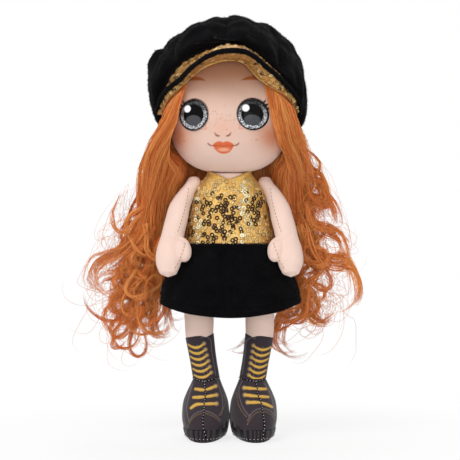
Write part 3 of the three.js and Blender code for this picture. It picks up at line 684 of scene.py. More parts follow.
def on_face(x, z, lift):
    """Points of the face at x and z, lifted off it along its normal."""
    skin = np.stack([x, face_y(x, z), z], -1)
    step = 0.05
    slope = [head_share(skin + step * e) - head_share(skin - step * e) for e in np.eye(3)]
    return skin + unit(np.stack(slope, -1)) * np.asarray(lift)[..., None]


def band_outer(angles):
    """Outer radius of the cap's band: the head grown by the hair and a clearance, found by halving
    along each direction at three heights, and the largest taken."""
    best = np.zeros_like(angles)
    for share in (0, 0.5, 1):
        up = -4 + (crown_hem(angles) + 6) * share
        near, far = np.zeros_like(angles), np.full_like(angles, 160.0)
        for _ in range(30):
            middle = (near + far) / 2
            spot = np.stack([middle * np.cos(angles), middle * np.sin(angles), up], -1)
            inside = head_share(cap_to_head(spot), 2.7) < 1
            near, far = np.where(inside, middle, near), np.where(inside, far, middle)
        best = np.maximum(best, near)
    return best + 1.2


# Heights round the cap, from the photograph: degrees, with the front at -90, and millimetres.
HEM = [
    [-270, -1], [-180, -1], [-158, 1.2], [-141, 8.2], [-120, 12.4], [-104, 14.9], [-87, 18.2],
    [-75, 16], [-64, 12], [-55, 7], [-45, 2.7], [-33, 0], [-15, -1], [90, -1],
]
BAND_LOW = [
    [-270, -4], [-200, -4], [-180, -6], [-163, -9.3], [-148, -10.5], [-133, -8.5], [-118, -1.9],
    [-104, 2.8], [-88, 5.4], [-73, 3.2], [-61, -7], [-50, -11], [-37, -11], [-20, -8.5], [0, -5],
    [20, -4], [90, -4],
]


def round_cap(table, angles):
    """A height from a table of degrees round the cap, at angles in radians."""
    return through(table, (np.degrees(angles) + 270) % 360 - 270)[..., 0]


def crown_hem(angles):
    """Height of the crown's hem over the band: low at the back, up over the visor."""
    return round_cap(HEM, angles)


def band_low(angles):
    """Height of the band's lower edge, arched up over the forehead."""
    return round_cap(BAND_LOW, angles)


def cap_ring(angles, radius, up):
    """Points round the cap's axis at a radius and a height, for rows of angles."""
    return np.stack(np.broadcast_arrays(np.cos(angles) * radius, np.sin(angles) * radius, up), -1)


TORSO_Z = 110.1
WAIST_Z = 127.1
TORSO = [
    [0, 19, 12], [2, 25.4, 16.8], [6, 28.2, 19], [12, 28.8, 19.5], [17, 28.2, 19],
    [29.5, 26.3, 17.2], [42, 23.6, 15.5], [50, 22, 13.6], [56, 18.6, 12.2], [59.5, 16.1, 11.6],
    [63, 13.6, 11],
]


def torso_rings(rises, grow=0.0, count=120):
    """Rings of the torso's bell at heights above its underside."""
    half = through(TORSO, np.asarray(rises, float))
    z = TORSO_Z + np.asarray(rises)
    return ovals(z, half[:, 0] + grow, half[:, 1] + grow, power=2.2, count=count)


def photo(px, py, y=0.0):
    """A pixel of the photograph as the doll's coordinates at depth y."""
    scale = PIXEL * (1 + y / CAMERA_AWAY)
    return [(px - MIDDLE_PX) * scale, y, CAMERA_Z + (MIDDLE_PY - py) * scale]


def spots(grid, normals, row_pitch, pitch, seed, jitter=0.15):
    """Places in staggered rows over a grid surface: each row is measured along its arc and
    stepped by the pitch. Returns points and normals."""
    rng = np.random.default_rng(seed)
    steps = np.linalg.norm(np.diff(grid, axis=0), axis=-1).mean(1)
    down = np.concatenate([[0], np.cumsum(steps)])
    found, facing = [], []
    for k, at in enumerate(np.arange(row_pitch * 0.4, down[-1], row_pitch)):
        i = min(np.searchsorted(down, at), len(down) - 1)
        f = (at - down[i - 1]) / (down[i] - down[i - 1])
        row = grid[i - 1] * (1 - f) + grid[i] * f
        lean = normals[i - 1] * (1 - f) + normals[i] * f
        arc = arc_of(row)
        along = np.arange(pitch * (0.25 + 0.5 * (k % 2) + jitter * rng.random()), arc[-1], pitch)
        along = along + rng.normal(0, jitter * pitch, len(along))
        found.append(on_path(along, arc, row))
        facing.append(on_path(along, arc, lean))
    points = np.concatenate(found)
    return points, unit(np.concatenate(facing))


def gold_paint(points):
    """Tones of the gold cloth: gold, turning to a deep orange in soft upright streaks, and painted shade in
    the same deep orange round the sides of the doll, where the cloth turns from the light."""
    c = bpy.context.scene.doll_colours
    paint = flat_paint(points, c.gold)
    # Painted shade: deep orange towards the sides, where the cloth turns away.
    side = np.clip((np.abs(points[:, 0]) - 15) / 16, 0, 1)
    streak = np.clip(0.5 + ripple(points * [1, 1, 0.25], 7, 88), 0, 1)
    over(paint, 0.75 * side + 0.3 * streak, "#B5702C")
    return paint


def sequins(points, normals, diameter, seed, dark, pale, sides=10, tilt=0.16):
    """Cupped ring sequins: washers whose rim stands above the hole, each tilted a little at random and
    lapped downwards. dark and pale are each one's chances of the painted dark reflection and the painted
    bright reflection. Returns the surface and each point's tone."""
    rng = np.random.default_rng(seed)
    c = bpy.context.scene.doll_colours
    n = len(points)
    lean = unit(normals + rng.normal(0, tilt, (n, 3)) + np.array([0, 0, -0.12]))
    across = unit(np.cross(lean, rng.normal(size=(n, 3))))
    up = np.cross(lean, across)
    a = np.arange(sides) * TURN / sides
    profile = [(0.21, 0.0), (0.5, 0.2), (0.23, 0.14)]
    radius = diameter * rng.uniform(0.92, 1.06, n)
    rings = [
        points[:, None]
        + (radius[:, None] * reach)[..., None]
        * (np.cos(a)[:, None] * across[:, None] + np.sin(a)[:, None] * up[:, None])
        + lean[:, None] * (0.25 + lift)
        for reach, lift in profile
    ]
    shape = np.stack(rings, 1)
    faces = grid_faces(3, sides, close=True)
    step = (np.arange(n) * 3 * sides)[:, None, None]
    draw = rng.random(n)
    kind = np.where(draw < dark, 2, np.where(draw > 1 - pale, 1, 0))
    middle = 0.72 * np.array(c.gold) + 0.28 * np.array(c.gold_pale)
    tones = np.array([middle, c.gold_pale, c.gold_dark])[kind]
    tones[:, :3] *= rng.uniform(0.7, 1.2, (n, 1))
    surface = shape.reshape(-1, 3), [(faces + step).reshape(-1, 4)]
    return surface, np.repeat(tones, 3 * sides, axis=0)


def fibres(points, normals, length, seed, width=0.16, lean=0.55, droop=0.35):
    """Pile: thin four-faced spikes on the surface, each leaning at random and drooping a little."""
    rng = np.random.default_rng(seed)
    n = len(points)
    out = unit(normals + rng.normal(0, lean, (n, 3)) + np.array([0, 0, -droop]))
    across = unit(np.cross(out, rng.normal(size=(n, 3))))
    off = np.cross(out, across)
    a = np.arange(3) * TURN / 3
    base = points[:, None] - 0.15 * normals[:, None] + width * (
        np.cos(a)[:, None] * across[:, None] + np.sin(a)[:, None] * off[:, None]
    )
    tip = points + out * (length * rng.uniform(0.5, 1.15, n))[:, None]
    made = np.concatenate([base, tip[:, None]], 1).reshape(-1, 3)
    four = np.array([[0, 1, 2], [0, 3, 1], [1, 3, 2], [2, 3, 0]])
    return made, [(four + (np.arange(n) * 4)[:, None, None]).reshape(-1, 3)]


def scattered(grid, normals, count, seed, ring):
    """Random points over a grid surface, as many on each quad as its area asks, with normals."""
    rng = np.random.default_rng(seed)
    if ring:
        grid = np.concatenate([grid, grid[:, :1]], 1)
        normals = np.concatenate([normals, normals[:, :1]], 1)
    a, b, c, d = grid[:-1, :-1], grid[:-1, 1:], grid[1:, 1:], grid[1:, :-1]
    area = np.linalg.norm(np.cross(c - a, d - b), axis=-1).ravel()
    pick = rng.choice(len(area), count, p=area / area.sum())
    r, k = np.divmod(pick, grid.shape[1] - 1)
    s, t = rng.random((2, count, 1))

    def mixed(g):
        low = g[r, k] * (1 - t) + g[r, k + 1] * t
        high = g[r + 1, k] * (1 - t) + g[r + 1, k + 1] * t
        return low * (1 - s) + high * s

    return mixed(grid), unit(mixed(normals))


def pile_on(name, grid, normals, count, seeds, length, ring=True):
    """The plush's pile over a grid surface, as a piece of its own."""
    points, facing = scattered(grid, normals, count, seeds[0], ring)
    return build(name, fibres(points, facing, length, seeds[1]), "plush")


def dashes(path, normals, length, gap, radius, lift=0.05):
    """Topstitches: short rounded tubes along a path that lies on a surface."""
    arc = arc_of(path)
    starts = np.arange(0, max(arc[-1] - length, 1e-6), length + gap)
    at = starts[:, None] + np.linspace(0, length, 5)[None]
    line, lean = on_path(at, arc, path), unit(on_path(at, arc, normals))
    radii = radius * np.tile(np.array([0.55, 1, 1, 1, 0.55]), (len(starts), 1))
    return tubes(line + lean * lift, radii, sides=6, wide_axis=(0.3, 1, 0.2))


def seen_at(points):
    """Where the photograph's camera sees points: pixels across and down."""
    scale = PIXEL * (1 + points[..., 1] / CAMERA_AWAY)
    across = MIDDLE_PX + points[..., 0] / scale
    return np.stack([across, MIDDLE_PY - (points[..., 2] - CAMERA_Z) / scale], -1)


def printed(points, pixels, widths, blur=0.8, dash=None):
    """Cover of a printed line: how far the camera sees each point from a smooth curve through
    pixels, less half the width there. dash is the length and the pitch of its breaks."""
    line = curve(pixels, np.linspace(0, 1, 6 * len(pixels)))
    step = np.diff(line, axis=0)
    long = np.linalg.norm(step, axis=1)
    gap = seen_at(points)[:, None] - line[:-1]
    t = np.clip((gap * step).sum(-1) / long**2, 0, 1)
    away = np.linalg.norm(gap - t[..., None] * step, axis=-1)
    k = away.argmin(1)
    row = np.arange(len(points))
    along = np.cumsum(long)[k] - long[k] * (1 - t[row, k])
    widths = np.atleast_1d(widths)
    width = np.interp(along / long.sum(), np.linspace(0, 1, len(widths)), widths)
    cover = soft(away[row, k] - width / 2, blur)
    return cover * (along % dash[1] < dash[0]) if dash else cover


def tree_of(surface):
    """A search tree of a surface, to lay things on it."""
    points, faces = surface
    return BVHTree.FromPolygons(points.tolist(), [q for f in faces for q in f.tolist()])


def drawn_on(tree, pixels, side=-1, count=60):
    """A smooth curve through pixels, cast from the camera onto a surface, with the normals there.
    The curve is mirrored for side 1."""
    found, facing = [], []
    eye = Vector((0, -CAMERA_AWAY, CAMERA_Z))
    for px, py in curve(pixels, np.linspace(0, 1, count)):
        x, y, z = photo(px, py)
        aim = (Vector((-side * x, y, z)) - eye).normalized()
        hit, normal, _, _ = tree.ray_cast(eye, aim)
        if hit is not None:
            found.append(hit)
            facing.append(normal if normal.dot(aim) < 0 else -normal)
    return np.array(found), np.array(facing)


# Head and face


def face_paint(points):
    """The printed face, painted by masks over the head's own x and z, front side only."""
    c = bpy.context.scene.doll_colours
    x, y, z = points.T
    front = (y < -4).astype(float)
    paint = flat_paint(points, c.skin)
    # Painted shade of the visor over the front of the face: strongest about the nose, weakest at the chin.
    painted_face_shade = np.interp(z, [-34, -14, 4], [0.1, 0.3, 0.24])
    over(paint, painted_face_shade * np.clip(-(y + 2) / 12, 0, 1), "#B98060")
    # Printed blush on the cheeks, made strong and wide by painted shade and a painted reflection of the
    # orange hair at the face's sides.
    for bx in (-32, 32):
        over(paint, front * 0.9 * np.exp(-(((x - bx) / 10) ** 2 + ((z + 17) / 10) ** 2)), "#C06E42")
    over(paint, 0.3 * np.exp(-((x / 8) ** 2 + ((z + 12) / 5) ** 2)) * front, "#E9A07C")
    # Painted shadow of the visor: the forehead darkened upwards from the eyes.
    over(paint, 0.95 * front * np.clip((z + 2) / 24, 0, 1) ** 1.2, "#B48468")
    rng = np.random.default_rng(5)
    fx = np.concatenate([rng.normal(0, 6.5, 26), rng.normal(-26, 4, 9), rng.normal(26, 4, 9)])
    fz = np.concatenate([rng.normal(-6.5, 3.4, 26), rng.normal(-17, 2.5, 18)])
    for dx, dz, r in zip(fx, fz, rng.uniform(0.25, 0.42, len(fx))):
        over(paint, front * 0.75 * soft(np.hypot(x - dx, z - dz) - r, 0.4), "#C9774C")
    for side in (-1, 1):
        u = x * side
        nose = [(5.2, -15.1), (4.5, -16.6), (3.3, -17.2), (2.1, -17.3)]
        over(paint, front * stroke(u, z, nose, [0.4, 1.0, 1.2, 0.5], 0.5), "#93553C")
        brow = [(11.6, 18.4), (14.5, 19.5), (18, 20.1), (22.5, 20.3)]
        over(paint, front * stroke(u, z, brow, [0.3, 1.9, 2.7, 2.9], 0.6), c.brows)
        ex, ez = u - EYE_X, z - EYE_Z
        r, a = np.hypot(ex, ez), np.degrees(np.arctan2(ez, ex))
        lid = 0.3 + 0.9 * np.clip(np.sin(np.radians(np.clip(a - 2, 0, 180))), 0, 1)
        over(paint, front * soft(np.abs(r - 9.6 - lid / 2) - lid / 2, 0.4), "#1E1517")
        for turn, reach in ((24, 2.9), (38, 3.1), (50, 2.3)):
            t = math.radians(turn)
            sx, sz = EYE_X + 10.4 * math.cos(t), EYE_Z + 10.4 * math.sin(t)
            mid = (sx + reach * 0.6 * math.cos(t - 0.1), sz + reach * 0.6 * math.sin(t - 0.1))
            tip = (sx + reach * math.cos(t + 0.25), sz + reach * math.sin(t + 0.25))
            over(paint, front * stroke(u, z, [(sx, sz), mid, tip], [1.5, 0.9, 0.2], 0.4), "#1E1517")
        corner = [(11.4, -9.6), (10.6, -12.6), (13.2, -13.0)]
        over(paint, front * 0.7 * stroke(u, z, corner, [0.3, 0.9, 0.4], 0.5), "#DE7A66")
    u = np.clip(x / 6.8, -1, 1)
    line = -23.3 + 0.5 * u**2
    bow = 3.0 * (1 - u**2) ** 0.8 * (1 - 0.34 * np.exp(-((x / 1.6) ** 2)))
    full = 5.1 * (1 - np.abs(u) ** 2.4) ** 0.72
    lips = soft(np.maximum(z - line - bow, line - full - z), 0.5) * (np.abs(x) < 6.9)
    over(paint, front * lips, c.lips)
    shine = soft(np.hypot(x / 3.6, (z + 25.9) / 1.1) - 1, 0.9)
    over(paint, front * 0.8 * shine * lips, "#F3B795")
    half = [(10, -21.9), (8.8, -23), (6.6, -23.5), (3.4, -23.1)]
    smile = [(-sx, sz) for sx, sz in half] + [(0, -23.7)] + half[::-1]
    thin = [0.8, 0.9, 0.6, 0.2, 0.3, 0.2, 0.6, 0.9, 0.8]
    over(paint, front * 0.9 * stroke(x, z, smile, thin, 0.4), "#8E4028")
    return paint


def warped(low, high, dense_low, dense_high, ratio, count):
    """Steps from low to high that lie ratio times closer between the dense limits."""
    edges = np.array([low, dense_low, dense_high, high], float)
    weight = np.diff(edges) * [1, ratio, 1]
    ends = np.concatenate([[0], np.cumsum(weight)])
    return np.interp(np.linspace(0, weight.sum(), count), ends, edges)


class DOLL_OT_head(bpy.types.Operator):
    """Stuffed head: a superellipsoid in rings by latitude, finer over the printed face"""

    bl_idname = "doll.head"
    bl_label = "Head"

    def execute(self, context):
        turn = np.radians(warped(-270, 90, -150, -30, 4.0, 261)[:-1])
        rings = head_rings(warped(-88, 88, -50, 38, 3.8, 150), turn)
        points, faces = loft(rings, [[0, 0, -HEAD_BELOW], [0, 0, HEAD_ABOVE]])
        paint = face_paint(points)
        piece = build("head_form", (from_head(points), faces), "skin", paint=paint)
        finished(piece, "head", "head")
        return {"FINISHED"}


class DOLL_OT_eyes(bpy.types.Operator):
    """Glossy domed eyes: discs in polar rings, lifted off the face by a paraboloid"""

    bl_idname = "doll.eyes"
    bl_label = "Eyes"

    def execute(self, context):
        share = np.concatenate([np.linspace(0.012, 0.97, 56), [0.985, 1.0]])
        lift = 0.9 + 1.5 * (1 - share**2)
        lift[-2:] = [0.86, 0.72]
        back = np.array([0.995, 0.7, 0.3, 0.02])
        r = EYE_R * np.concatenate([share, back])
        lift = np.concatenate([lift, [0.32, 0.3, 0.3, 0.3]])
        a = around(140)
        for name, side in SIDES:
            x = side * EYE_X + r[:, None] * np.cos(a)
            z = EYE_Z + r[:, None] * np.sin(a)
            rings = on_face(x, z, np.broadcast_to(lift[:, None], x.shape))
            points, faces = loft(rings)
            ex = (points[:, 0] - side * EYE_X) / EYE_R
            ez = (points[:, 2] - EYE_Z) / EYE_R
            rr, aa = np.hypot(ex, ez), np.arctan2(ez, ex)
            paint = flat_paint(points, "#0A090B")
            ring = soft(np.abs(rr - 0.82) - 0.11, 0.06)
            fade = np.clip(0.8 - 0.8 * np.sin(aa), 0.1, 1)
            over(paint, ring * fade, "#5E6064")
            grey = soft(np.hypot(ex / 0.52, (ez + 0.36) / 0.34) - 1, 0.25) * (rr < 0.69)
            over(paint, grey * 0.7, "#5A5B5F")
            over(paint, soft(np.hypot(ex + 0.42, ez - 0.42) - 0.235, 0.06), "#FFFFFF")
            piece = build(
                f"eye_dome_{name}", (from_head(points), faces), "eye",
                paint=paint, glitter=ring * fade,
            )
            finished(piece, "head", f"eye_{name}")
        return {"FINISHED"}


# Body


class DOLL_OT_torso(bpy.types.Operator):
    """Stuffed torso and neck: superellipse rings through a bell of stations"""

    bl_idname = "doll.torso"
    bl_label = "Torso"

    def execute(self, context):
        rises = np.linspace(0, 63, 90)
        rings = torso_rings(rises, count=140)
        poles = [[0, 0, TORSO_Z - 1.5], [0, 0, TORSO_Z + 63.2]]
        surface = loft(rings, poles)
        paint = flat_paint(surface[0], context.scene.doll_colours.skin)
        piece = build("torso_form", surface, "skin", paint=paint)
        finished(piece, "torso", "torso")
        return {"FINISHED"}


ARM = [
    [-0.062, 0, 0.45, 0.54], [0, 0.02, 0.655, 0.79], [0.08, 0.22, 0.7, 0.83],
    [0.16, 0.38, 0.76, 0.9], [0.24, 0.5, 0.82, 0.95], [0.36, 0.6, 0.88, 1], [0.57, 0.76, 0.9, 0.94],
    [0.72, 0.86, 1, 0.96], [0.87, 0.89, 0.93, 0.88], [0.96, 0.89, 0.65, 0.58],
]
ARM_LENGTH, ARM_WIDE, ARM_THICK, ARM_SPLAY = 65, 8.4, 7, 18
ARM_LEAN = math.radians(21)
SHOULDER = np.array([23.5, 0, 166.1])


def from_arm(points, side):
    """An arm's coordinates, hanging from its shoulder, as the doll's: swung forward by its lean."""
    return tilted(points, -ARM_LEAN) + SHOULDER * [side, 1, 1]


def arm_surface(side):
    """Rings through the arm's stations, and a thumb: an ellipsoid that leans inwards."""
    down = np.linspace(ARM[0][0], ARM[-1][0], 80)
    out, wide, thick = through(ARM, down).T
    middle = side * out * ARM_SPLAY
    rings = ovals(-down * ARM_LENGTH, wide * ARM_WIDE, thick * ARM_THICK, x=middle, count=56)
    poles = [[0, 0, 5.5], [side * 0.89 * ARM_SPLAY, 0, -ARM_LENGTH]]
    arm = loft(rings, poles)
    a = np.radians(np.linspace(-86, 86, 24))
    thumb = ovals(8.6 * np.sin(a), 5.6 * np.cos(a), 4.6 * np.cos(a), count=32)
    c, s = math.cos(side * 0.22), math.sin(side * 0.22)
    x, y, z = thumb[..., 0], thumb[..., 1], thumb[..., 2]
    thumb = np.stack([c * x + s * z, y, -s * x + c * z], -1)
    thumb += [side * (0.89 * ARM_SPLAY - 1.1 * ARM_WIDE), -2.6, -0.72 * ARM_LENGTH]
    return joined([arm, loft(thumb)])


def remeshed(piece, voxel, smoothing):
    """Joins a piece's overlapping bodies into one even skin and smooths it, as arrays in
    millimetres of the doll's coordinates. The object itself is removed."""
    piece.modifiers.new("skin", "REMESH").voxel_size = voxel / 1000
    relax = piece.modifiers.new("relax", "SMOOTH")
    relax.factor, relax.iterations = 0.5, smoothing
    graph = bpy.context.evaluated_depsgraph_get()
    mesh = piece.evaluated_get(graph).to_mesh()
    points = np.empty(len(mesh.vertices) * 3, np.float32)
    mesh.vertices.foreach_get("co", points)
    quads = np.empty(len(mesh.loops), np.int32)
    mesh.loops.foreach_get("vertex_index", quads)
    points = points.reshape(-1, 3).astype(float) * 1000 - OFFSET
    quads = quads.reshape(-1, 4)
    bpy.data.objects.remove(piece)
    return points, [quads]


def vertex_normals(surface):
    """Normals of a surface's points: the sum of their faces' cross products."""
    points, faces = surface
    total = np.zeros_like(points)
    for f in faces:
        n = np.cross(points[f[:, 2]] - points[f[:, 0]], points[f[:, -1]] - points[f[:, 1]])
        for k in range(f.shape[1]):
            np.add.at(total, f[:, k], n)
    total = unit(total)
    return total if signed_volume(points - points.mean(0), faces) > 0 else -total


class DOLL_OT_arms(bpy.types.Operator):
    """Stuffed arms with mitten hands, creased at the wrist and topstitched along the thumb side"""

    bl_idname = "doll.arms"
    bl_label = "Arms"

    def execute(self, context):
        for name, side in SIDES:
            points, faces = arm_surface(side)
            rough = build(f"arm_rough_{name}", (from_arm(points, side), faces), "skin")
            surface = remeshed(rough, 0.55, 6)
            points, faces = surface
            normals = vertex_normals(surface)
            x, z = points[:, 0] * side, points[:, 2]
            front = np.clip(-normals[:, 1] * 1.6, 0, 1)
            creases = [
                (photo(168, 235, -18), photo(184, 240, -18), 0.55, 1.0),
                (photo(167, 256, -22), photo(173, 266, -22), 0.35, 0.8),
                (photo(186, 240, -18), photo(184, 256, -20), 0.5, 0.9),
            ]
            for a, b, depth, width in creases:
                away, _ = segment_gap(x, z, (-a[0], a[2]), (-b[0], b[2]))
                points = points - normals * (front * depth * np.exp(-((away / width) ** 2)))[:, None]
            points = points + normals * (0.12 * ripple(points, 11, 3 + side))[:, None]
            paint = flat_paint(points, context.scene.doll_colours.skin)
            piece = build(f"arm_form_{name}", (points, faces), "skin", paint=paint)
            finished(piece, f"arm_{name}", f"arm_{name}")
            tree = tree_of((points, faces))
            lines = [
                [(188.5, 188), (187, 200), (184, 212), (180.5, 224), (177.5, 232)],
                [(185.5, 243), (182, 253), (178.5, 262), (174.5, 269)],
            ]
            parts = [dashes(*drawn_on(tree, line, side), 1.5, 1.0, 0.2) for line in lines]
            thread = build(f"arm_topstitch_{name}", joined(parts), "brown_thread")
            finished(thread, f"arm_{name}")
        return {"FINISHED"}


HIP_X, HIP_Z, LEG_R, LEG_DOWN = 20.5, 100, 9.8, 34.7


def leg_x(side, down):
    """Sideways place of a leg's middle: it leans in towards the ankle."""
    return side * (HIP_X - np.interp(down, [0, 35, 62], [0, 0.7, 5.3]))


class DOLL_OT_legs(bpy.types.Operator):
    """Stuffed legs: round rings from a domed hip down into the boot"""

    bl_idname = "doll.legs"
    bl_label = "Legs"

    def execute(self, context):
        for name, side in SIDES:
            a = np.radians(np.linspace(-86, 0, 24))
            below = np.linspace(1.5, LEG_DOWN, 34)
            slim = np.interp(below, [0, 14, 26, LEG_DOWN], [LEG_R, LEG_R, 9.5, 9.0])
            down = np.concatenate([LEG_R * np.sin(a), below])
            radius = np.concatenate([LEG_R * np.cos(a), slim])
            rings = ovals(HIP_Z - down, radius, radius, x=leg_x(side, np.maximum(down, 0)), count=96)
            points, faces = loft(rings)
            paint = flat_paint(points, context.scene.doll_colours.skin)
            outward = unit(points - [side * HIP_X, 0, 85])
            points = points + 0.15 * ripple(points, 13, 8)[:, None] * outward
            piece = build(f"leg_form_{name}", (points, faces), "skin", paint=paint)
            finished(piece, f"leg_{name}", f"leg_{name}")
        return {"FINISHED"}


# Boots

FOOT = [
    [0, 1, 1, 0.99], [0.12, 0.985, 1, 1.03], [0.32, 0.87, 0.97, 1.03], [0.52, 0.68, 0.9, 0.98],
    [0.72, 0.49, 0.8, 0.84], [0.88, 0.36, 0.7, 0.7], [1, 0.254, 0.574, 0.597],
]
BOOT_WIDE, TOE, HEEL, SOLE_TOP, ANKLE_Z = 14.9, 35.0, 15.5, 8.0, 38.0

# What is printed and sewn on each boot, in the photograph's pixels. laces are the ends of the first
# and of the last of six.
PRINTS = {
    "right": {
        "laces": [[(187.9, 344.3), (204.1, 343.6)], [(194.1, 374.9), (211.3, 372.4)]],
        "bars": [
            [(195.4, 389), (205, 389.8), (215.8, 386.1)], [(193.5, 397.4), (205, 396.8), (216.6, 394.9)],
            [(191, 408), (195.5, 404.9), (204.8, 404), (216.6, 403.6)],
        ],
        "lines": [
            [(201, 337.5), (206, 336.8), (209.5, 338.6), (211.6, 350.5), (215.8, 375.5)],
            [(217.3, 380), (220.4, 390.5), (222.6, 400.5), (222.3, 409.3), (219.1, 415.5)],
            [(192.3, 384.3), (188.5, 398), (186.6, 408), (188.5, 420.5)],
            [(188.5, 421.8), (192.9, 415.5), (201, 411.1), (208.5, 411.8), (216, 415.5), (221, 420.5)],
        ],
        "dashed": [
            [(187.9, 426.1), (192.3, 418.6), (201, 413.6), (208.5, 414.3), (216, 418), (220.4, 422.4)],
            [(224.1, 395.5), (225.5, 403), (223.5, 408), (221, 415.5)],
            [(197.2, 345), (200, 358), (204.5, 376)],
            [(201.5, 344), (204.3, 358), (208.3, 375)],
        ],
        "seam": [
            (204.5, 381.8), (204.8, 386.8), (205.4, 395.5), (204.1, 405.5), (203.8, 411.8),
            (202.9, 419.3), (203.5, 428), (205, 434), (205.8, 438),
        ],
        "ankle": [(193.2, 378), (198.5, 380.4), (204.8, 381.6), (212.3, 380), (219.8, 377.5)],
    },
    "left": {
        "laces": [[(253.3, 345.5), (271, 346.8)], [(248.8, 374.9), (265, 375.5)]],
        "bars": [
            [(244.1, 387.8), (257.3, 388.8), (266, 389)], [(244.8, 394.9), (257.9, 396.3), (268.5, 397)],
            [(247.5, 402.4), (262.3, 403), (268, 405), (272, 407)],
        ],
        "lines": [
            [(255.5, 338.5), (251, 337.5), (247.5, 340), (245.4, 352), (242.5, 374)],
            [(243, 379.5), (239.1, 388), (240.4, 400.5), (244.8, 410.5), (249.8, 416.1)],
            [(264.1, 383), (269.8, 393), (273.5, 405.5), (275, 415.5)],
            [(247.3, 421.1), (251, 414.3), (257.3, 409.3), (263.5, 408.6), (269.8, 410.5), (274.8, 415.5)],
        ],
        "dashed": [
            [(247.3, 424.5), (251.5, 417.2), (257.6, 412.3), (263.5, 411.4), (269.8, 413.5), (274.5, 418.5)],
            [(236.9, 393), (238, 403), (242.5, 412), (247, 417)],
            [(258.6, 347), (256, 360), (253, 378)],
            [(263.2, 347), (260.8, 360), (258, 378)],
        ],
        "seam": [
            (255.4, 381.8), (257.3, 388), (257.9, 394.3), (261, 401.8), (262.3, 409.3), (263.5, 418),
            (264.1, 428), (262.8, 435.5), (263, 439),
        ],
        "ankle": [(239.4, 377.5), (246, 380), (254, 381.6), (261, 380.5), (265, 378.5)],
    },
}


def from_foot(points, side):
    """A foot's coordinates, from under its ankle, as the doll's: toed out a little."""
    return turned(points, side * math.radians(3.5)) + [side * 15.2, 0, 0]


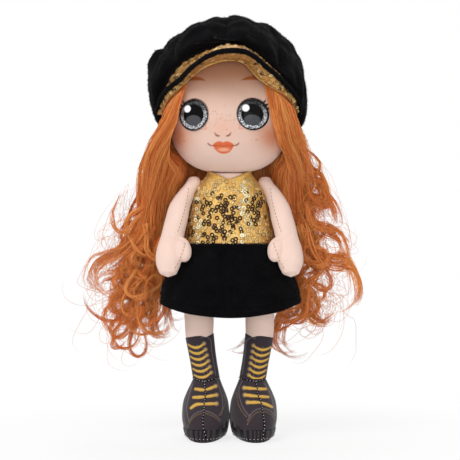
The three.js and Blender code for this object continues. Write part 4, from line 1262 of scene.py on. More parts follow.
class DOLL_OT_boots(bpy.types.Operator):
    """Printed boots: a shaft on the leg, a lofted foot, a ribbed sole and the seams for each side"""

    bl_idname = "doll.boots"
    bl_label = "Boots"

    def execute(self, context):
        for name, side in SIDES:
            shapes = [self.shaft(name, side), self.foot(name, side), self.sole(context, name, side)]
            tree = tree_of(joined(shapes))
            dark, white = [], []
            for line in (PRINTS[name]["seam"], PRINTS[name]["ankle"]):
                path, facing = drawn_on(tree, line, count=90)
                dark.append(tubes(path[None], np.full((1, len(path)), 0.5), sides=6))
                white.append(dashes(path, facing, 0.45, 1.75, 0.3, 0.4))
            edge = np.radians(np.linspace(-168, -12, 90))
            round_sole = ovals([2.6], BOOT_WIDE - 1.45, TOE - 0.5, HEEL - 1.45, power=2.35, turns=edge)[0]
            facing = unit(round_sole * [1 / BOOT_WIDE**2, 1 / TOE**2, 0] + [0, 0, -0.004])
            facing = turned(facing, side * 0.061)
            white.append(dashes(from_foot(round_sole, side), facing, 0.5, 1.9, 0.26, 0.35))
            for kind, parts, key in (("dark", dark, "black_thread"), ("bead", white, "white_thread")):
                seam = build(f"boot_{kind}_seam_{name}", joined(parts), key)
                finished(seam, f"leg_{name}")
        return {"FINISHED"}

    def sewn(self, name, node, surface, paint, key, fill=None):
        """Builds a part of the boot on its leg, and returns its surface."""
        piece = build(f"{node}_form_{name}", surface, key, paint=paint)
        finished(piece, f"leg_{name}", f"{node}_{name}")
        return surface

    def shaft(self, name, side):
        """Rings down the ankle whose top edge rises in scallops, most at the inner side."""
        c = bpy.context.scene.doll_colours
        down = np.concatenate([[35.3], np.linspace(35.4, 61.7, 88)])
        radius = np.interp(down, [35.3, 41.75, 51.2, 61.7], [9.35, 9.1, 8.85, 8.9])
        radius[0] -= 0.5
        turns = np.radians(warped(-270, 90, -175, -5, 2.2, 201)[:-1])
        rings = ovals(HIP_Z - down, radius, radius, x=leg_x(side, down), turns=turns)
        inner = -side * np.cos(turns)
        scallop = np.interp(inner, [-1, -0.8, -0.3, 0.1, 0.5, 1], [0, 1.0, 1.9, 2.1, 1.2, 3.3])
        rings[..., 2] += scallop * np.clip((45 - down) / 9, 0, 1)[:, None]
        surface = loft(rings)
        points = surface[0]
        front = np.clip(-3 * vertex_normals(surface)[:, 1] - 0.3, 0, 1)
        paint = flat_paint(points, c.boot)
        art = PRINTS[name]
        over(paint, front * 0.55 * printed(points, art["lines"][0], 0.7), "#8C8287")
        for line in art["dashed"][2:]:
            over(paint, front * 0.6 * printed(points, line, 0.6, 0.7, (0.9, 1.9)), "#8F8A7C")
        first, last = np.array(art["laces"])
        for share in np.linspace(0, 1, 6):
            a, b = first + (last - first) * share
            hung = ((0.28, 2.9), (0.55, 3.7), (0.85, 1.9))
            sag = [a, *(a * (1 - way) + b * way + [0, drop] for way, drop in hung), b]
            eyelet = np.linalg.norm(seen_at(points) - (b if side < 0 else a), axis=1)
            over(paint, front * 0.8 * soft(eyelet - 1.9, 1.4), "#A38C6E")
            over(paint, front * printed(points, sag, [1.3, 2.1, 2.5, 2.1, 1.3]), c.gold)
            over(paint, front * 0.5 * printed(points, np.array(sag)[1:4] - [0, 0.6], 0.6), "#F0C86A")
        return self.sewn(name, "boot_shaft", surface, paint, "boot", 0.8)

    def foot(self, name, side):
        c = bpy.context.scene.doll_colours
        low, high = SOLE_TOP + 0.3, ANKLE_Z - 0.3
        up = np.linspace(0, 1, 86)
        ahead, behind, wide = through(FOOT, up).T
        turns = np.radians(warped(-270, 90, -170, -10, 2.4, 241)[:-1])
        rings = ovals(
            low + up * (high - low), wide * BOOT_WIDE, ahead * TOE, behind * HEEL,
            power=2.35 - 0.35 * up, turns=turns, x=side * 0.45 * np.sin(math.pi * up),
        )
        points, faces = loft(rings)
        points[:, 1] += 0.5 * np.exp(-(((points[:, 2] - 33) / 1.6) ** 2)) * (points[:, 1] < 0)
        points = from_foot(points, side)
        front = np.clip(-4 * vertex_normals((points, faces))[:, 1] - 0.3, 0, 1)
        paint = flat_paint(points, c.boot)
        over(paint, 0.35 * np.clip(ripple(points, 14, 77), 0, 1), "#2A2226")
        art = PRINTS[name]
        for line in art["lines"][1:]:
            over(paint, front * 0.6 * printed(points, line, 0.7), "#8C8287")
        for line in art["dashed"][:2]:
            over(paint, front * 0.7 * printed(points, line, 0.7, 0.7, (1.3, 2.3)), "#A8894E")
        for line in art["bars"]:
            eyelet = np.linalg.norm(seen_at(points) - line[-1 if side < 0 else 0], axis=1)
            over(paint, front * 0.85 * soft(eyelet - 2.1, 1.4), "#A8907A")
            over(paint, front * printed(points, line, [2.6, 3.2, 2.0, 3.0, 2.2]), c.gold)
            over(paint, front * 0.5 * printed(points, np.array(line) - [0, 0.6], 0.7), "#F0C86A")
        return self.sewn(name, "boot_foot", (points, faces), paint, "boot", 0.9)

    def sole(self, context, name, side):
        """Rings rounded off towards the floor, whose wall stands higher at the inner side."""
        c = context.scene.doll_colours
        ribs = context.scene.doll_sizes.sole_ribs
        z = np.array([0, 0.12, 0.4, 0.8, 1.4, 2.1, 3, 4, 5, 6, 7, 7.6, 8.0])
        inset = 6.0 * (1 - np.sqrt(1 - (1 - np.minimum(z / 7.6, 1)) ** 2))
        inset[-2:] = [0.1, 0.5]
        count = ribs * 12
        turns = around(count)
        turns = turns + 0.22 * np.sin(2 * turns)
        rings = ovals(z, BOOT_WIDE - inset, TOE - 0.35 * inset, HEEL - inset, power=2.35, turns=turns)
        wave = 0.5 + 0.5 * np.tanh(3 * np.cos(TURN * ribs * np.arange(count) / count))
        depth = 0.35 * (1 - wave)[None] * np.interp(z, [0, 2, 7, 8], [0, 1, 1, 0.2])[:, None]
        rings[..., :2] *= (1 - depth / np.hypot(rings[..., 0], rings[..., 1]))[..., None]
        inner = np.maximum(-side * np.cos(turns), 0) ** 2
        lifted = np.clip((z - 3) / 4, 0, 1)[:, None] * inner
        rings[..., 2] += 5 * lifted
        rings[..., 0] -= side * 0.35 * lifted
        points, faces = loft(rings)
        paint = flat_paint(points, c.sole)
        wall = points[:, 2] > 0.6
        strip = np.concatenate([np.tile(wave, len(z)), [0, 0]])
        over(paint, 0.5 * strip * wall, "#4A4147")
        over(paint, 0.7 * (1 - strip) * wall, "#0A090A")
        surface = from_foot(points, side), faces
        return self.sewn(name, "boot_sole", surface, paint, "sole")


# Clothes


class DOLL_OT_top(bpy.types.Operator):
    """Halter of netting with ring sequins: the torso's rings grown outwards and cut at the neck, with the
    sequins left off round the arms
    """

    bl_idname = "doll.top"
    bl_label = "Sequin top"

    def execute(self, context):
        sizes = context.scene.doll_sizes
        rises = np.linspace(17.2, 64.4, 54)
        count = 180
        outer = torso_rings(rises, 1.1, count)
        x, y, z = outer[..., 0], outer[..., 1], outer[..., 2]
        notch = 169.1 + 0.42 * np.abs(x)
        top = np.where(y < 0, np.minimum(notch, 174.5), 174.5)
        z_new = WAIST_Z + 0.15 + (z - z[0, 0]) / (z[-1, 0] - z[0, 0]) * (top - WAIST_Z - 0.15)
        fitted = through(TORSO, np.clip(z_new - TORSO_Z, 0, 63))
        across, deep = superellipse(around(count)[None], 2.2)
        outer, inner = (
            np.stack([across * (fitted[..., 0] + grow), deep * (fitted[..., 1] + grow), z_new], -1)
            for grow in (1.1, 0.35)
        )
        shell = np.concatenate([outer, inner[::-1]])
        points = shell.reshape(-1, 3)
        surface = points, [grid_faces(len(shell), count, close=True)]
        piece = build("top_cloth", surface, "cloth", paint=gold_paint(points))
        finished(piece, "torso", "sequin_top")
        normals = grid_normals(outer)
        points, facing = spots(outer, normals, 2.35, 2.85, 11, 0.42)
        points = points + [0, 0, 1] * np.random.default_rng(16).normal(0, 0.35, (len(points), 1))
        x, z = points[:, 0], points[:, 2]
        # Where the sequins get painted reflection: dark in a patch at the middle front, one on the left of
        # the chest and random patches at the back; pale in two upright bands.
        grain = ripple(points, 9, 14)
        shadow = np.hypot((x + 6) / 19, (z - 143) / 19)
        shadow = np.minimum(shadow, np.hypot((x - 16) / 7, (z - 150) / 11))
        dark = np.clip(1.9 - 1.6 * shadow + 0.3 * grain, 0, 0.88) * (facing[:, 1] < 0.2)
        dark = np.maximum(dark, np.clip(ripple(points, 16, 15) * 2, 0, 0.8) * (facing[:, 1] > 0.2))
        streaks = np.minimum(np.abs(x + 20.5), np.abs(x - 9.5)) / 2.6 + np.abs(z - 144) / 40
        pale = np.clip(1.5 - streaks + 0.4 * grain, 0, 0.9)
        kept = np.linalg.norm(np.abs(points) - SHOULDER, axis=-1) > 6.6
        chance = np.clip((171 - z) / 9, 0.06, 1) * np.maximum(np.maximum(dark, pale), 0.7)
        kept &= np.random.default_rng(13).random(len(points)) < chance
        shape, tone = sequins(
            points[kept], facing[kept], sizes.sequin * 1000, 12, (dark * (1 - pale))[kept], pale[kept]
        )
        discs = build("top_sequins", shape, "sequin", paint=tone)
        finished(discs, "torso")
        return {"FINISHED"}


def skirt_point(angle, share, grow=0.0):
    """The skirt's flare: half sizes from waist to hem along a sine, with a hem that drops more in
    front, and soft folds that grow towards the hem."""
    widen = np.sin(share * math.pi / 2)
    across, deep = superellipse(angle, 2.2)
    fold = 0.7 * share**1.5 * np.sin(5 * angle + 0.8) + 0.4 * share**1.5 * np.sin(9 * angle + 2.1)
    half_x = 30.1 + 15.9 * widen + grow + fold
    half_y = 20.9 + 9.1 * widen + grow + fold
    to_back = np.sin(angle)
    drop = np.where(to_back < 0, 8, 4) * to_back**2
    z = WAIST_Z - 0.15 - (39 + drop) * share
    return np.stack(np.broadcast_arrays(across * half_x, deep * half_y, z), -1)


class DOLL_OT_skirt(bpy.types.Operator):
    """Flared plush skirt in two halves, with a hem stitch and a pile"""

    bl_idname = "doll.skirt"
    bl_label = "Plush skirt"

    def execute(self, context):
        pile = context.scene.doll_sizes.pile * 1000
        for name, side in SIDES:
            low = -math.pi / 2
            angle = np.linspace(low, low + side * math.pi, 130)
            rows = np.concatenate([np.linspace(0, 0.86, 44), np.linspace(0.87, 1, 14)])
            hem_groove = 0.7 * np.exp(-(((rows - 0.885) / 0.012) ** 2))
            outer = skirt_point(angle[:, None], rows[None], -hem_groove[None])
            inner = skirt_point(angle[:, None], rows[None], -1.6)
            lip = (skirt_point(angle, np.ones(130), -0.8) + [0, 0, -0.5])[:, None]
            section = np.concatenate([outer, lip, inner[:, ::-1]], 1)
            n, m = section.shape[:2]
            k = len(rows)
            quads = grid_faces(n, m)
            i = np.arange(k - 1)
            end = np.stack([i, i + 1, m - 2 - i, m - 1 - i], -1)
            tip = np.array([[k - 1, k, k + 1]])
            caps = [end, end[:, ::-1] + (n - 1) * m, tip, tip[:, ::-1] + (n - 1) * m]
            surface = section.reshape(-1, 3), [quads, *caps]
            piece = build(f"skirt_{name}", surface, "plush")
            finished(piece, node="plush_skirt")
            normals = grid_normals(outer, ring=False)
            if np.einsum("ijk,ijk->", normals, outer * [1, 1, 0]) < 0:
                normals = -normals
            seeds = (21 + side, 31 + side)
            fuzz = pile_on(f"skirt_pile_{name}", outer, normals, 9000, seeds, pile, False)
            finished(fuzz)
            line = skirt_point(angle, np.full(130, 0.885), 0.05)
            facing = unit(line * [1, 1, 0])
            stitches = build(
                f"skirt_hem_stitch_{name}", dashes(line, facing, 2.4, 1.2, 0.22, 0.0),
                "black_thread",
            )
            finished(stitches)
            for item in (piece, fuzz, stitches):
                self.hang(item, name, side)
        return {"FINISHED"}

    def hang(self, item, name, side):
        """Bakes the piece's placement into its mesh."""
        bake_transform(item)


# Cap


# The crown: half its width, its reach to front and back, the height of its widest ring, the height
# of its dome above that ring and half the number of its panels.
CROWN_X, CROWN_FRONT, CROWN_BACK, CROWN_WIDEST, CROWN_DOME, HALF_PANELS = 53, 49.5, 47, 15, 49, 4

# The heights of its outer and its inner pole.
CROWN_POLES = 65.3, 63.9

# Its folds: pixels with depths, how far each goes in, or out where negative, and its half width.
CROWN_FOLDS = (
    ([(163, 46, 8), (167, 54, -12), (177, 66, -34)], 3.0, 3.0),
    ([(152, 62, 8), (155, 53, 6)], -4.0, 6),
    ([(222, 15, 30), (222, 20, -10), (224, 30, -32)], 1.4, 3.6),
    ([(255, 20, 25), (255, 27, -10), (252, 42, -38)], 2.4, 4),
    ([(269, 24, 15), (268, 27, 5)], -1.6, 5),
    ([(293, 54, 20), (293, 58, -10), (284, 72, -36)], 2.2, 4),
    ([(208, 16, 20), (207, 24, -10), (206, 40, -36)], 2.0, 5),
)


def crown_reach(angles):
    """Radius of the crown round its axis: an oval, drawn in at the seams of its panels."""
    across = np.sin(angles)
    deep = np.where(across < 0, CROWN_FRONT, CROWN_BACK)
    reach = CROWN_X + (deep - CROWN_X) * across**2
    return reach * (1 - 0.04 * (1 - np.abs(np.sin(HALF_PANELS * angles))) ** 1.4)


def crown_rows(angles, skin, dome_count, under_count):
    """The crown's rows: a dome from its top to its widest ring, then a rolled underside down to
    the band."""
    degrees = np.radians(np.linspace(1.2, 90, dome_count))[:, None]
    rise = CROWN_WIDEST + np.cos(degrees) * (CROWN_DOME - skin)
    dome = cap_ring(angles[None], np.sin(degrees) * (crown_reach(angles) - skin), rise)
    share = np.linspace(0.03, 1, under_count)[:, None]
    s, c = np.sin(share * math.pi / 2), np.maximum(np.cos(share * math.pi / 2), 0) ** 0.6
    frontness = np.maximum(0, -np.sin(angles))
    rim = band_outer(angles) + 2.8 - frontness - skin
    wide = rim + (crown_reach(angles) - skin - rim) * c
    droop = 2.5 * np.sin(math.pi * share) * (1 - frontness)
    up = CROWN_WIDEST - (CROWN_WIDEST - crown_hem(angles)) * s - droop
    return np.concatenate([dome, cap_ring(angles[None], wide, up)])


# The visor's edge in the cap's coordinates, from the doll's right to its left.
VISOR_EDGE = [
    [-46.2, 1.0, -3.4], [-43.4, -7.5, -4.8], [-38.6, -18.6, -5.8], [-28.6, -33.6, -6.6],
    [-19.5, -47.2, -7.3], [-11.5, -55.5, -7.7], [-2.8, -61.2, -8], [5.3, -62.6, -8.1],
    [13.2, -61.2, -8], [19.7, -55.4, -7.7], [25.5, -47, -7.3], [32, -38, -6.6], [38.1, -27.2, -5.8],
    [45, -13.3, -4.8], [46.8, 0.8, -3.6],
]


def visor_edge(turn):
    """The visor's edge at a turn of -83 to 83 degrees, kept outside the band."""
    edge = curve(VISOR_EDGE, (np.degrees(turn) + 83) / 166)
    far = np.hypot(edge[:, 0], edge[:, 1])
    need = band_outer(np.arctan2(edge[:, 1], edge[:, 0])) + 1.4
    edge[:, :2] *= np.maximum(1, need / far)[:, None]
    return edge


def visor_sections(turns):
    """Sections of the padded visor from the band to its edge: a smooth closed curve through six
    points, thicker at the root and crowned on top."""
    edge = visor_edge(turns)
    angle = np.arctan2(edge[:, 1], edge[:, 0])
    outward = np.stack([np.cos(angle), np.sin(angle), 0 * angle], -1)
    root = band_outer(angle) + 0.3
    far = np.hypot(edge[:, 0], edge[:, 1])
    top = crown_hem(angle) - 0.5
    base, half = band_low(angle) + 0.4, 1.2
    pad = 2.5 * np.cos(turns)
    knots = [
        (0, base), (0.5, (base + edge[:, 2] - half) / 2), (1, edge[:, 2] - half),
        (1, edge[:, 2] + half), (0.5, (top + edge[:, 2] + half) / 2 + pad), (0, top),
    ]
    rows = []
    for share, up in knots:
        spot = outward * (root + (far - root) * share)[:, None]
        spot[:, 2] = up
        rows.append(spot)
    return np.stack(rows, 1)


class DOLL_OT_cap(bpy.types.Operator):
    """Baker-boy cap: a puffed plush crown, a sequin band, a padded sequin visor and its binding"""

    bl_idname = "doll.cap"
    bl_label = "Cap"

    def execute(self, context):
        self.crown(context)
        self.band(context)
        self.visor(context)
        return {"FINISHED"}

    def crown(self, context):
        sizes = context.scene.doll_sizes
        dent = sizes.wrinkle * 1000
        angles = around(256)
        outer = from_cap(crown_rows(angles, 0, 52, 26))
        inner = from_cap(crown_rows(angles, 1.5, 10, 8))
        normals = grid_normals(outer)
        seam = np.exp(-((np.sin(HALF_PANELS * angles) / 0.09) ** 2))
        rows = np.arange(len(outer))[:, None] / len(outer)
        calm = np.clip((1 - rows) / 0.16, 0, 1)
        low = outer * [1, 1, 0.6]
        move = 1.5 * dent * ripple(low, 26, 4) + 0.8 * dent * ripple(low * [1.5, 1.5, 0.7], 11, 9)
        move = np.minimum(move * calm * np.clip(rows / 0.1, 0.3, 1), 1.4)
        move = move - 0.9 * seam[None] * np.clip(rows / 0.05, 0, 1) * calm
        for fold, depth, width in CROWN_FOLDS:
            line = curve([photo(*spot) for spot in fold], np.linspace(0, 1, 16))
            away = np.linalg.norm(outer[:, :, None] - line, axis=-1).min(-1)
            move = move - depth * np.exp(-((away / width) ** 2)) * calm
        outer = outer + normals * np.minimum(move, 4.0)[..., None]
        rings = np.concatenate([outer, inner[::-1]])
        top = from_cap(np.array([[0, 0, height] for height in CROWN_POLES]))
        piece = build("crown_panels", loft(rings, top), "plush")
        finished(piece, "cap", "cap_crown")
        pile = sizes.pile * 1000
        fuzz = pile_on("crown_pile", outer, grid_normals(outer), 15000, (41, 42), pile)
        finished(fuzz, "cap")

    def band(self, context):
        angles = around(240)
        outer = band_outer(angles)
        top = crown_hem(angles) + 2
        shares = np.linspace(0, 1, 8)[:, None]
        low = band_low(angles)
        wall = cap_ring(angles[None], outer[None], low + (top - low) * shares)
        inside = cap_ring(angles[None], (outer - 1.2)[None], low + (top - low) * shares[::-1])
        rings = np.concatenate([wall, inside])
        faces = grid_faces(len(rings), len(angles), close=True)
        shape = from_cap(rings).reshape(-1, 3), [faces]
        piece = build("band_form", shape, "cloth", paint=gold_paint(shape[0]))
        finished(piece, "cap", "cap_band")
        shown = cap_ring(angles[None], (outer + 0.1)[None], low + (top - 2 - low) * shares)
        shown = from_cap(shown)
        points, facing = spots(shown, grid_normals(shown), 1.9, 2.3, 51)
        # A few sequins get the painted dark and bright reflection.
        few = np.full(len(points), 0.12)
        shape, tone = sequins(points, facing, context.scene.doll_sizes.sequin * 900, 52, few, few)
        discs = build("band_sequins", shape, "sequin", paint=tone)
        finished(discs, "cap")

    def visor(self, context):
        sizes = context.scene.doll_sizes
        turns = np.radians(np.linspace(-81, 81, 90))
        knots = visor_sections(turns)
        count = 40
        loop = np.concatenate([knots[:, -1:], knots, knots[:, :2]], 1)
        at = np.linspace(1, 7, count, endpoint=False)
        i = at.astype(int)
        f = (at - i)[None, :, None]
        p0, p1, p2, p3 = (loop[:, np.clip(i + k, 0, 8)] for k in (-1, 0, 1, 2))
        tight = 0.35
        world = from_cap(hermite(f, p1, (p2 - p0) * tight, p2, (p3 - p1) * tight))
        surface = loft(world)
        paint = gold_paint(surface[0])
        over(paint, np.full(len(paint), 0.6), "#B06E26")
        piece = build("visor_form", surface, "cloth", paint=paint)
        finished(piece, "cap", "cap_visor")
        parts, tones = [], []
        under = world[:, 0:14].transpose(1, 0, 2)
        upper = world[:, 20:34].transpose(1, 0, 2)
        axis = from_cap(np.array([[0, 0, 1.0], [0, 0, 0]]))
        axis = axis[0] - axis[1]
        for seed, patch, sign in ((61, under, -1), (62, upper, 1)):
            normals = grid_normals(patch, ring=False)
            if (normals @ axis).mean() * sign < 0:
                normals = -normals
            points, facing = spots(patch, normals, 2.2, 2.6, seed, 0.25)
            chance = np.random.default_rng(seed).random(len(points))
            kept = chance < np.where(np.abs(points[:, 0]) > 14, 0.75, 0.4)
            # A few sequins get the painted dark and bright reflection.
            few = np.full(kept.sum(), 0.14)
            shape, tone = sequins(points[kept], facing[kept], sizes.sequin * 900, seed, few, few)
            parts.append(shape)
            tones.append(tone * [1.0, 0.84, 0.62, 1.0])
        tones = np.concatenate(tones)
        discs = build("visor_sequins", joined(parts), "sequin", paint=tones)
        finished(discs, "cap")
        fine = np.radians(np.linspace(-83, 83, 150))
        edge = visor_edge(fine)
        outward = unit(edge * [1, 1, 0])
        centre = edge + outward * 1.6
        a = around(20)
        rings = centre[:, None] + outward[:, None] * (np.cos(a) * 1.35)[None, :, None]
        rings = rings + np.array([0, 0, 1.9]) * np.sin(a)[None, :, None]
        rings = from_cap(rings)
        roll = build("binding_roll", loft(rings), "plush")
        finished(roll, "cap", "visor_binding")
        pile = sizes.pile * 800
        fuzz = pile_on("binding_pile", rings, grid_normals(rings), 4200, (71, 72), pile)
        finished(fuzz, "cap")


# Hair


def strays(rng, shape, t, amount, slow, fast):
    """Smooth wanderings in x, y and z: sines of random height, speed and phase along t."""
    shape = (*shape, 1, 3)
    height, speed, phase = rng.normal(size=shape), rng.uniform(slow, fast, shape), rng.random(shape)
    wave = np.sin(TURN * (speed * t[..., None] + phase))
    return amount * height * wave * np.clip(1.6 * t, 0.04, 1)[..., None]


def clumps(
    centre, wide, thick, count, seed, steps, wide_axis=(0, 1, 0), twist=0.5, spread=1.2,
    reach=(0.8, 1.0), hollow=0.0,
):
    """Middle lines of a lock's clumps: each keeps its place in the lock's oval section, outside its
    hollow share, turns slowly about the lock's middle and wanders off it by up to the spread in
    millimetres, three times as far at its tip."""
    rng = np.random.default_rng(seed)
    t = np.linspace(0, 1, steps)[None] * rng.uniform(*reach, count)[:, None]
    middle = curve(centre, t.ravel()).reshape(count, steps, 3)
    _, across, off = section_axes(middle, wide_axis)
    w, h = (np.interp(t, np.linspace(0, 1, len(v)), v) for v in (wide, thick))
    r = np.sqrt(rng.uniform(hollow, 1, count))[:, None]
    spin = np.arccos(rng.uniform(-1, 1, count)) * rng.choice([-1, 1], count)
    spin = spin[:, None] + twist * TURN * t
    lines = middle + across * (r * np.cos(spin) * w)[..., None]
    lines = lines + off * (r * np.sin(spin) * h)[..., None]
    wander = strays(rng, (count,), t, spread, 0.5, 1.4)
    return lines + wander * (1 + 2 * t**4)[..., None]


def ringlets(starts, headings, lengths, turns, depths, seed, steps=24):
    """Middle lines of curls: curves in an upright plane whose heading turns faster and faster, by
    the power 1.6 of the way gone, and wavers by a slow sine. Their depth wanders."""
    rng = np.random.default_rng(seed)
    s = np.linspace(0, 1, steps)[None]
    each = (len(starts), 1)
    height, speed, phase = rng.normal(0, 0.55, each), rng.uniform(0.7, 2.4, each), rng.random(each)
    waver = height * np.sin(TURN * (speed * s + phase))
    heading = headings[:, None] + turns[:, None] * s**1.6 + waver
    step = (lengths / steps)[:, None]
    x = starts[:, :1] + np.cumsum(np.cos(heading), 1) * step
    z = starts[:, 1:] + np.cumsum(np.sin(heading), 1) * step
    coil = TURN * (rng.uniform(0.8, 1.8, each) * s + rng.random(each))
    y = depths[:, None] + rng.uniform(1, 6, each) * np.sin(coil) * s
    wander = strays(rng, (len(starts),), s + 0 * y, 1.0, 0.4, 1.2)
    return np.stack([x, y, z], -1) + wander * [1, 3, 1]


def bundle(lines, per, width, seed, loose, ends=(0.75, 1.0)):
    """Strands round many clump lines (n, m, 3): each keeps its place in its clump's round section,
    whose radius follows width, wanders a little and ends at its own length."""
    rng = np.random.default_rng(seed)
    n, m = lines.shape[:2]
    t = np.linspace(0, 1, m)[None, None]
    _, across, off = section_axes(lines)
    w = np.interp(t, np.linspace(0, 1, len(width)), width)
    r = np.sqrt(rng.uniform(0, 1, (n, per)))[..., None] * w
    spin = rng.uniform(0, TURN, (n, per))[..., None] + rng.uniform(-0.8, 0.8, (n, 1, 1)) * TURN * t
    paths = lines[:, None] + across[:, None] * (r * np.cos(spin))[..., None]
    paths = paths + off[:, None] * (r * np.sin(spin))[..., None]
    paths = (paths + strays(rng, (n, per), t + 0 * r, loose, 0.8, 2.4)).reshape(n * per, m, 3)
    at = np.arange(m)[None] * rng.uniform(*ends, (n * per, 1))
    i = np.minimum(at.astype(int), m - 2)
    f = (at - i)[..., None]
    row = np.arange(n * per)[:, None]
    return paths[row, i] * (1 - f) + paths[row, i + 1] * f


# Where the locks leave the face bare: rows of the photograph, with the left and right pixel.
FACE_EDGES = [
    [60, 190, 259], [86, 186.4, 262.6], [98, 182.4, 266], [110, 179, 267], [122, 177, 266],
    [129, 174, 268.6], [138, 171, 272], [145, 169.5, 278], [153, 169.5, 284], [170, 169.5, 289],
]


def kept_out(paths):
    """Moves strand points in under the cap's band, less and less below its edge, off the face by
    folding what lies over it back at its edges in the picture, and out of the head, torso and
    arms, straight out from each one's middle."""
    local = to_cap(paths)
    turn = np.arctan2(local[..., 1], local[..., 0])
    ring = np.linspace(-math.pi, math.pi, 121)
    room = np.interp(turn, ring, band_outer(ring)) - 2.3
    room = room + 0.9 * np.maximum(np.interp(turn, ring, band_low(ring)) - 1.5 - local[..., 2], 0)
    far = np.hypot(local[..., 0], local[..., 1])
    local[..., :2] *= np.minimum(1, room / np.maximum(far, 1e-6))[..., None]
    paths = from_cap(local)
    px, py = np.moveaxis(seen_at(paths), -1, 0)
    front = np.interp(py, [146, 158], [16, 5]) - paths[..., 1]
    bare = np.clip(front / 8, 0, 1) * np.clip((170 - py) / 8, 0, 1)
    rows = np.array(FACE_EDGES, float).T
    in_left = np.maximum(px - np.interp(py, rows[0], rows[1]), 0)
    in_right = np.maximum(np.interp(py, rows[0], rows[2]) - px, 0)
    fold = np.where(px < 227, -in_left, in_right) * 1.25 * bare * PIXEL
    paths = paths + fold[..., None] * [1, 0, 0]
    local = to_head(paths)
    share = head_share(local, 0.6)
    push = np.where(share < 1, np.maximum(share, 1e-3) ** (-1 / RISE), 1)
    paths = from_head(local * push[..., None])
    x, y, z = paths[..., 0], paths[..., 1], paths[..., 2]
    half = through(TORSO, np.clip(z - TORSO_Z, 0, 63))
    across, deep = np.abs(x / (half[..., 0] + 2.4)), np.abs(y / (half[..., 1] + 2.4))
    share = (across**2.2 + deep**2.2) ** (1 / 2.2)
    inside = (share < 1) & (z > TORSO_Z) & (z < TORSO_Z + 66)
    push = np.where(inside, 1 / np.maximum(share, 0.3), 1)
    paths = np.stack([x * push, y * push, z], -1)
    for side in (1, -1):
        down = np.linspace(0, 1, 14)
        out = through(ARM, down * 0.96)[:, 0]
        spine = from_arm(np.stack([side * out * ARM_SPLAY, 0 * out, -down * ARM_LENGTH], -1), side)
        gap = paths[..., None, :] - spine
        away = np.linalg.norm(gap, axis=-1)
        k = away.argmin(-1)
        nearest = np.take_along_axis(away, k[..., None], -1)[..., 0]
        lean = np.take_along_axis(gap, k[..., None, None], -2)[..., 0, :]
        need = np.where(nearest < 9.0, 9.0 - nearest, 0)
        paths = paths + unit(lean * [0.4, 1, 0.3] + [0, 0.5, 0]) * need[..., None]
    return paths


def bend_with_head(piece):
    """Bakes the hair piece's placement into its mesh."""
    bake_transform(piece)


def fibre_tones(mixed):
    """Tones of the fibre for numbers from 0, the dark one, over 1 to 2, the light one."""
    c = bpy.context.scene.doll_colours
    tones = np.array([c.hair_dark, c.hair, c.hair_light])
    mixed = np.clip(mixed, 0, 1.999)
    low = mixed.astype(int)
    return tones[low] * (1 - mixed + low)[:, None] + tones[low + 1] * (mixed - low)[:, None]


def hair_piece(name, groups, node, thick=1.0):
    """One hair piece of groups (strands, strands in a clump): tapered three-sided tubes, with a
    tone for each clump and a little of its own for each strand."""
    width = bpy.context.scene.doll_sizes.strand * 500 * thick
    parts, paint = [], []
    for k, (paths, per) in enumerate(groups):
        rng = np.random.default_rng(900 + 10 * k + len(name))
        n, m = paths.shape[:2]
        taper = np.interp(np.linspace(0, 1, m), [0, 0.05, 0.7, 1], [0.6, 1, 0.85, 0.2])
        parts.append(tubes(kept_out(paths), width * taper[None] * rng.uniform(0.75, 1.25, (n, 1))))
        mixed = np.repeat(rng.normal(1.25, 0.27, n // per), per) + rng.normal(0, 0.32, n)
        paint.append(np.repeat(fibre_tones(mixed), 3 * m + 2, axis=0))
    piece = build(name, joined(parts), "hair", paint=np.concatenate(paint))
    finished(piece, node=node)
    bend_with_head(piece)


def at_depth(pixels, depths):
    """Pixels of a lock with the depth given at a few places along it."""
    ys = np.interp(np.linspace(0, 1, len(pixels)), np.linspace(0, 1, len(depths)), depths)
    return [photo(px, py, y) for (px, py), y in zip(pixels, ys)]


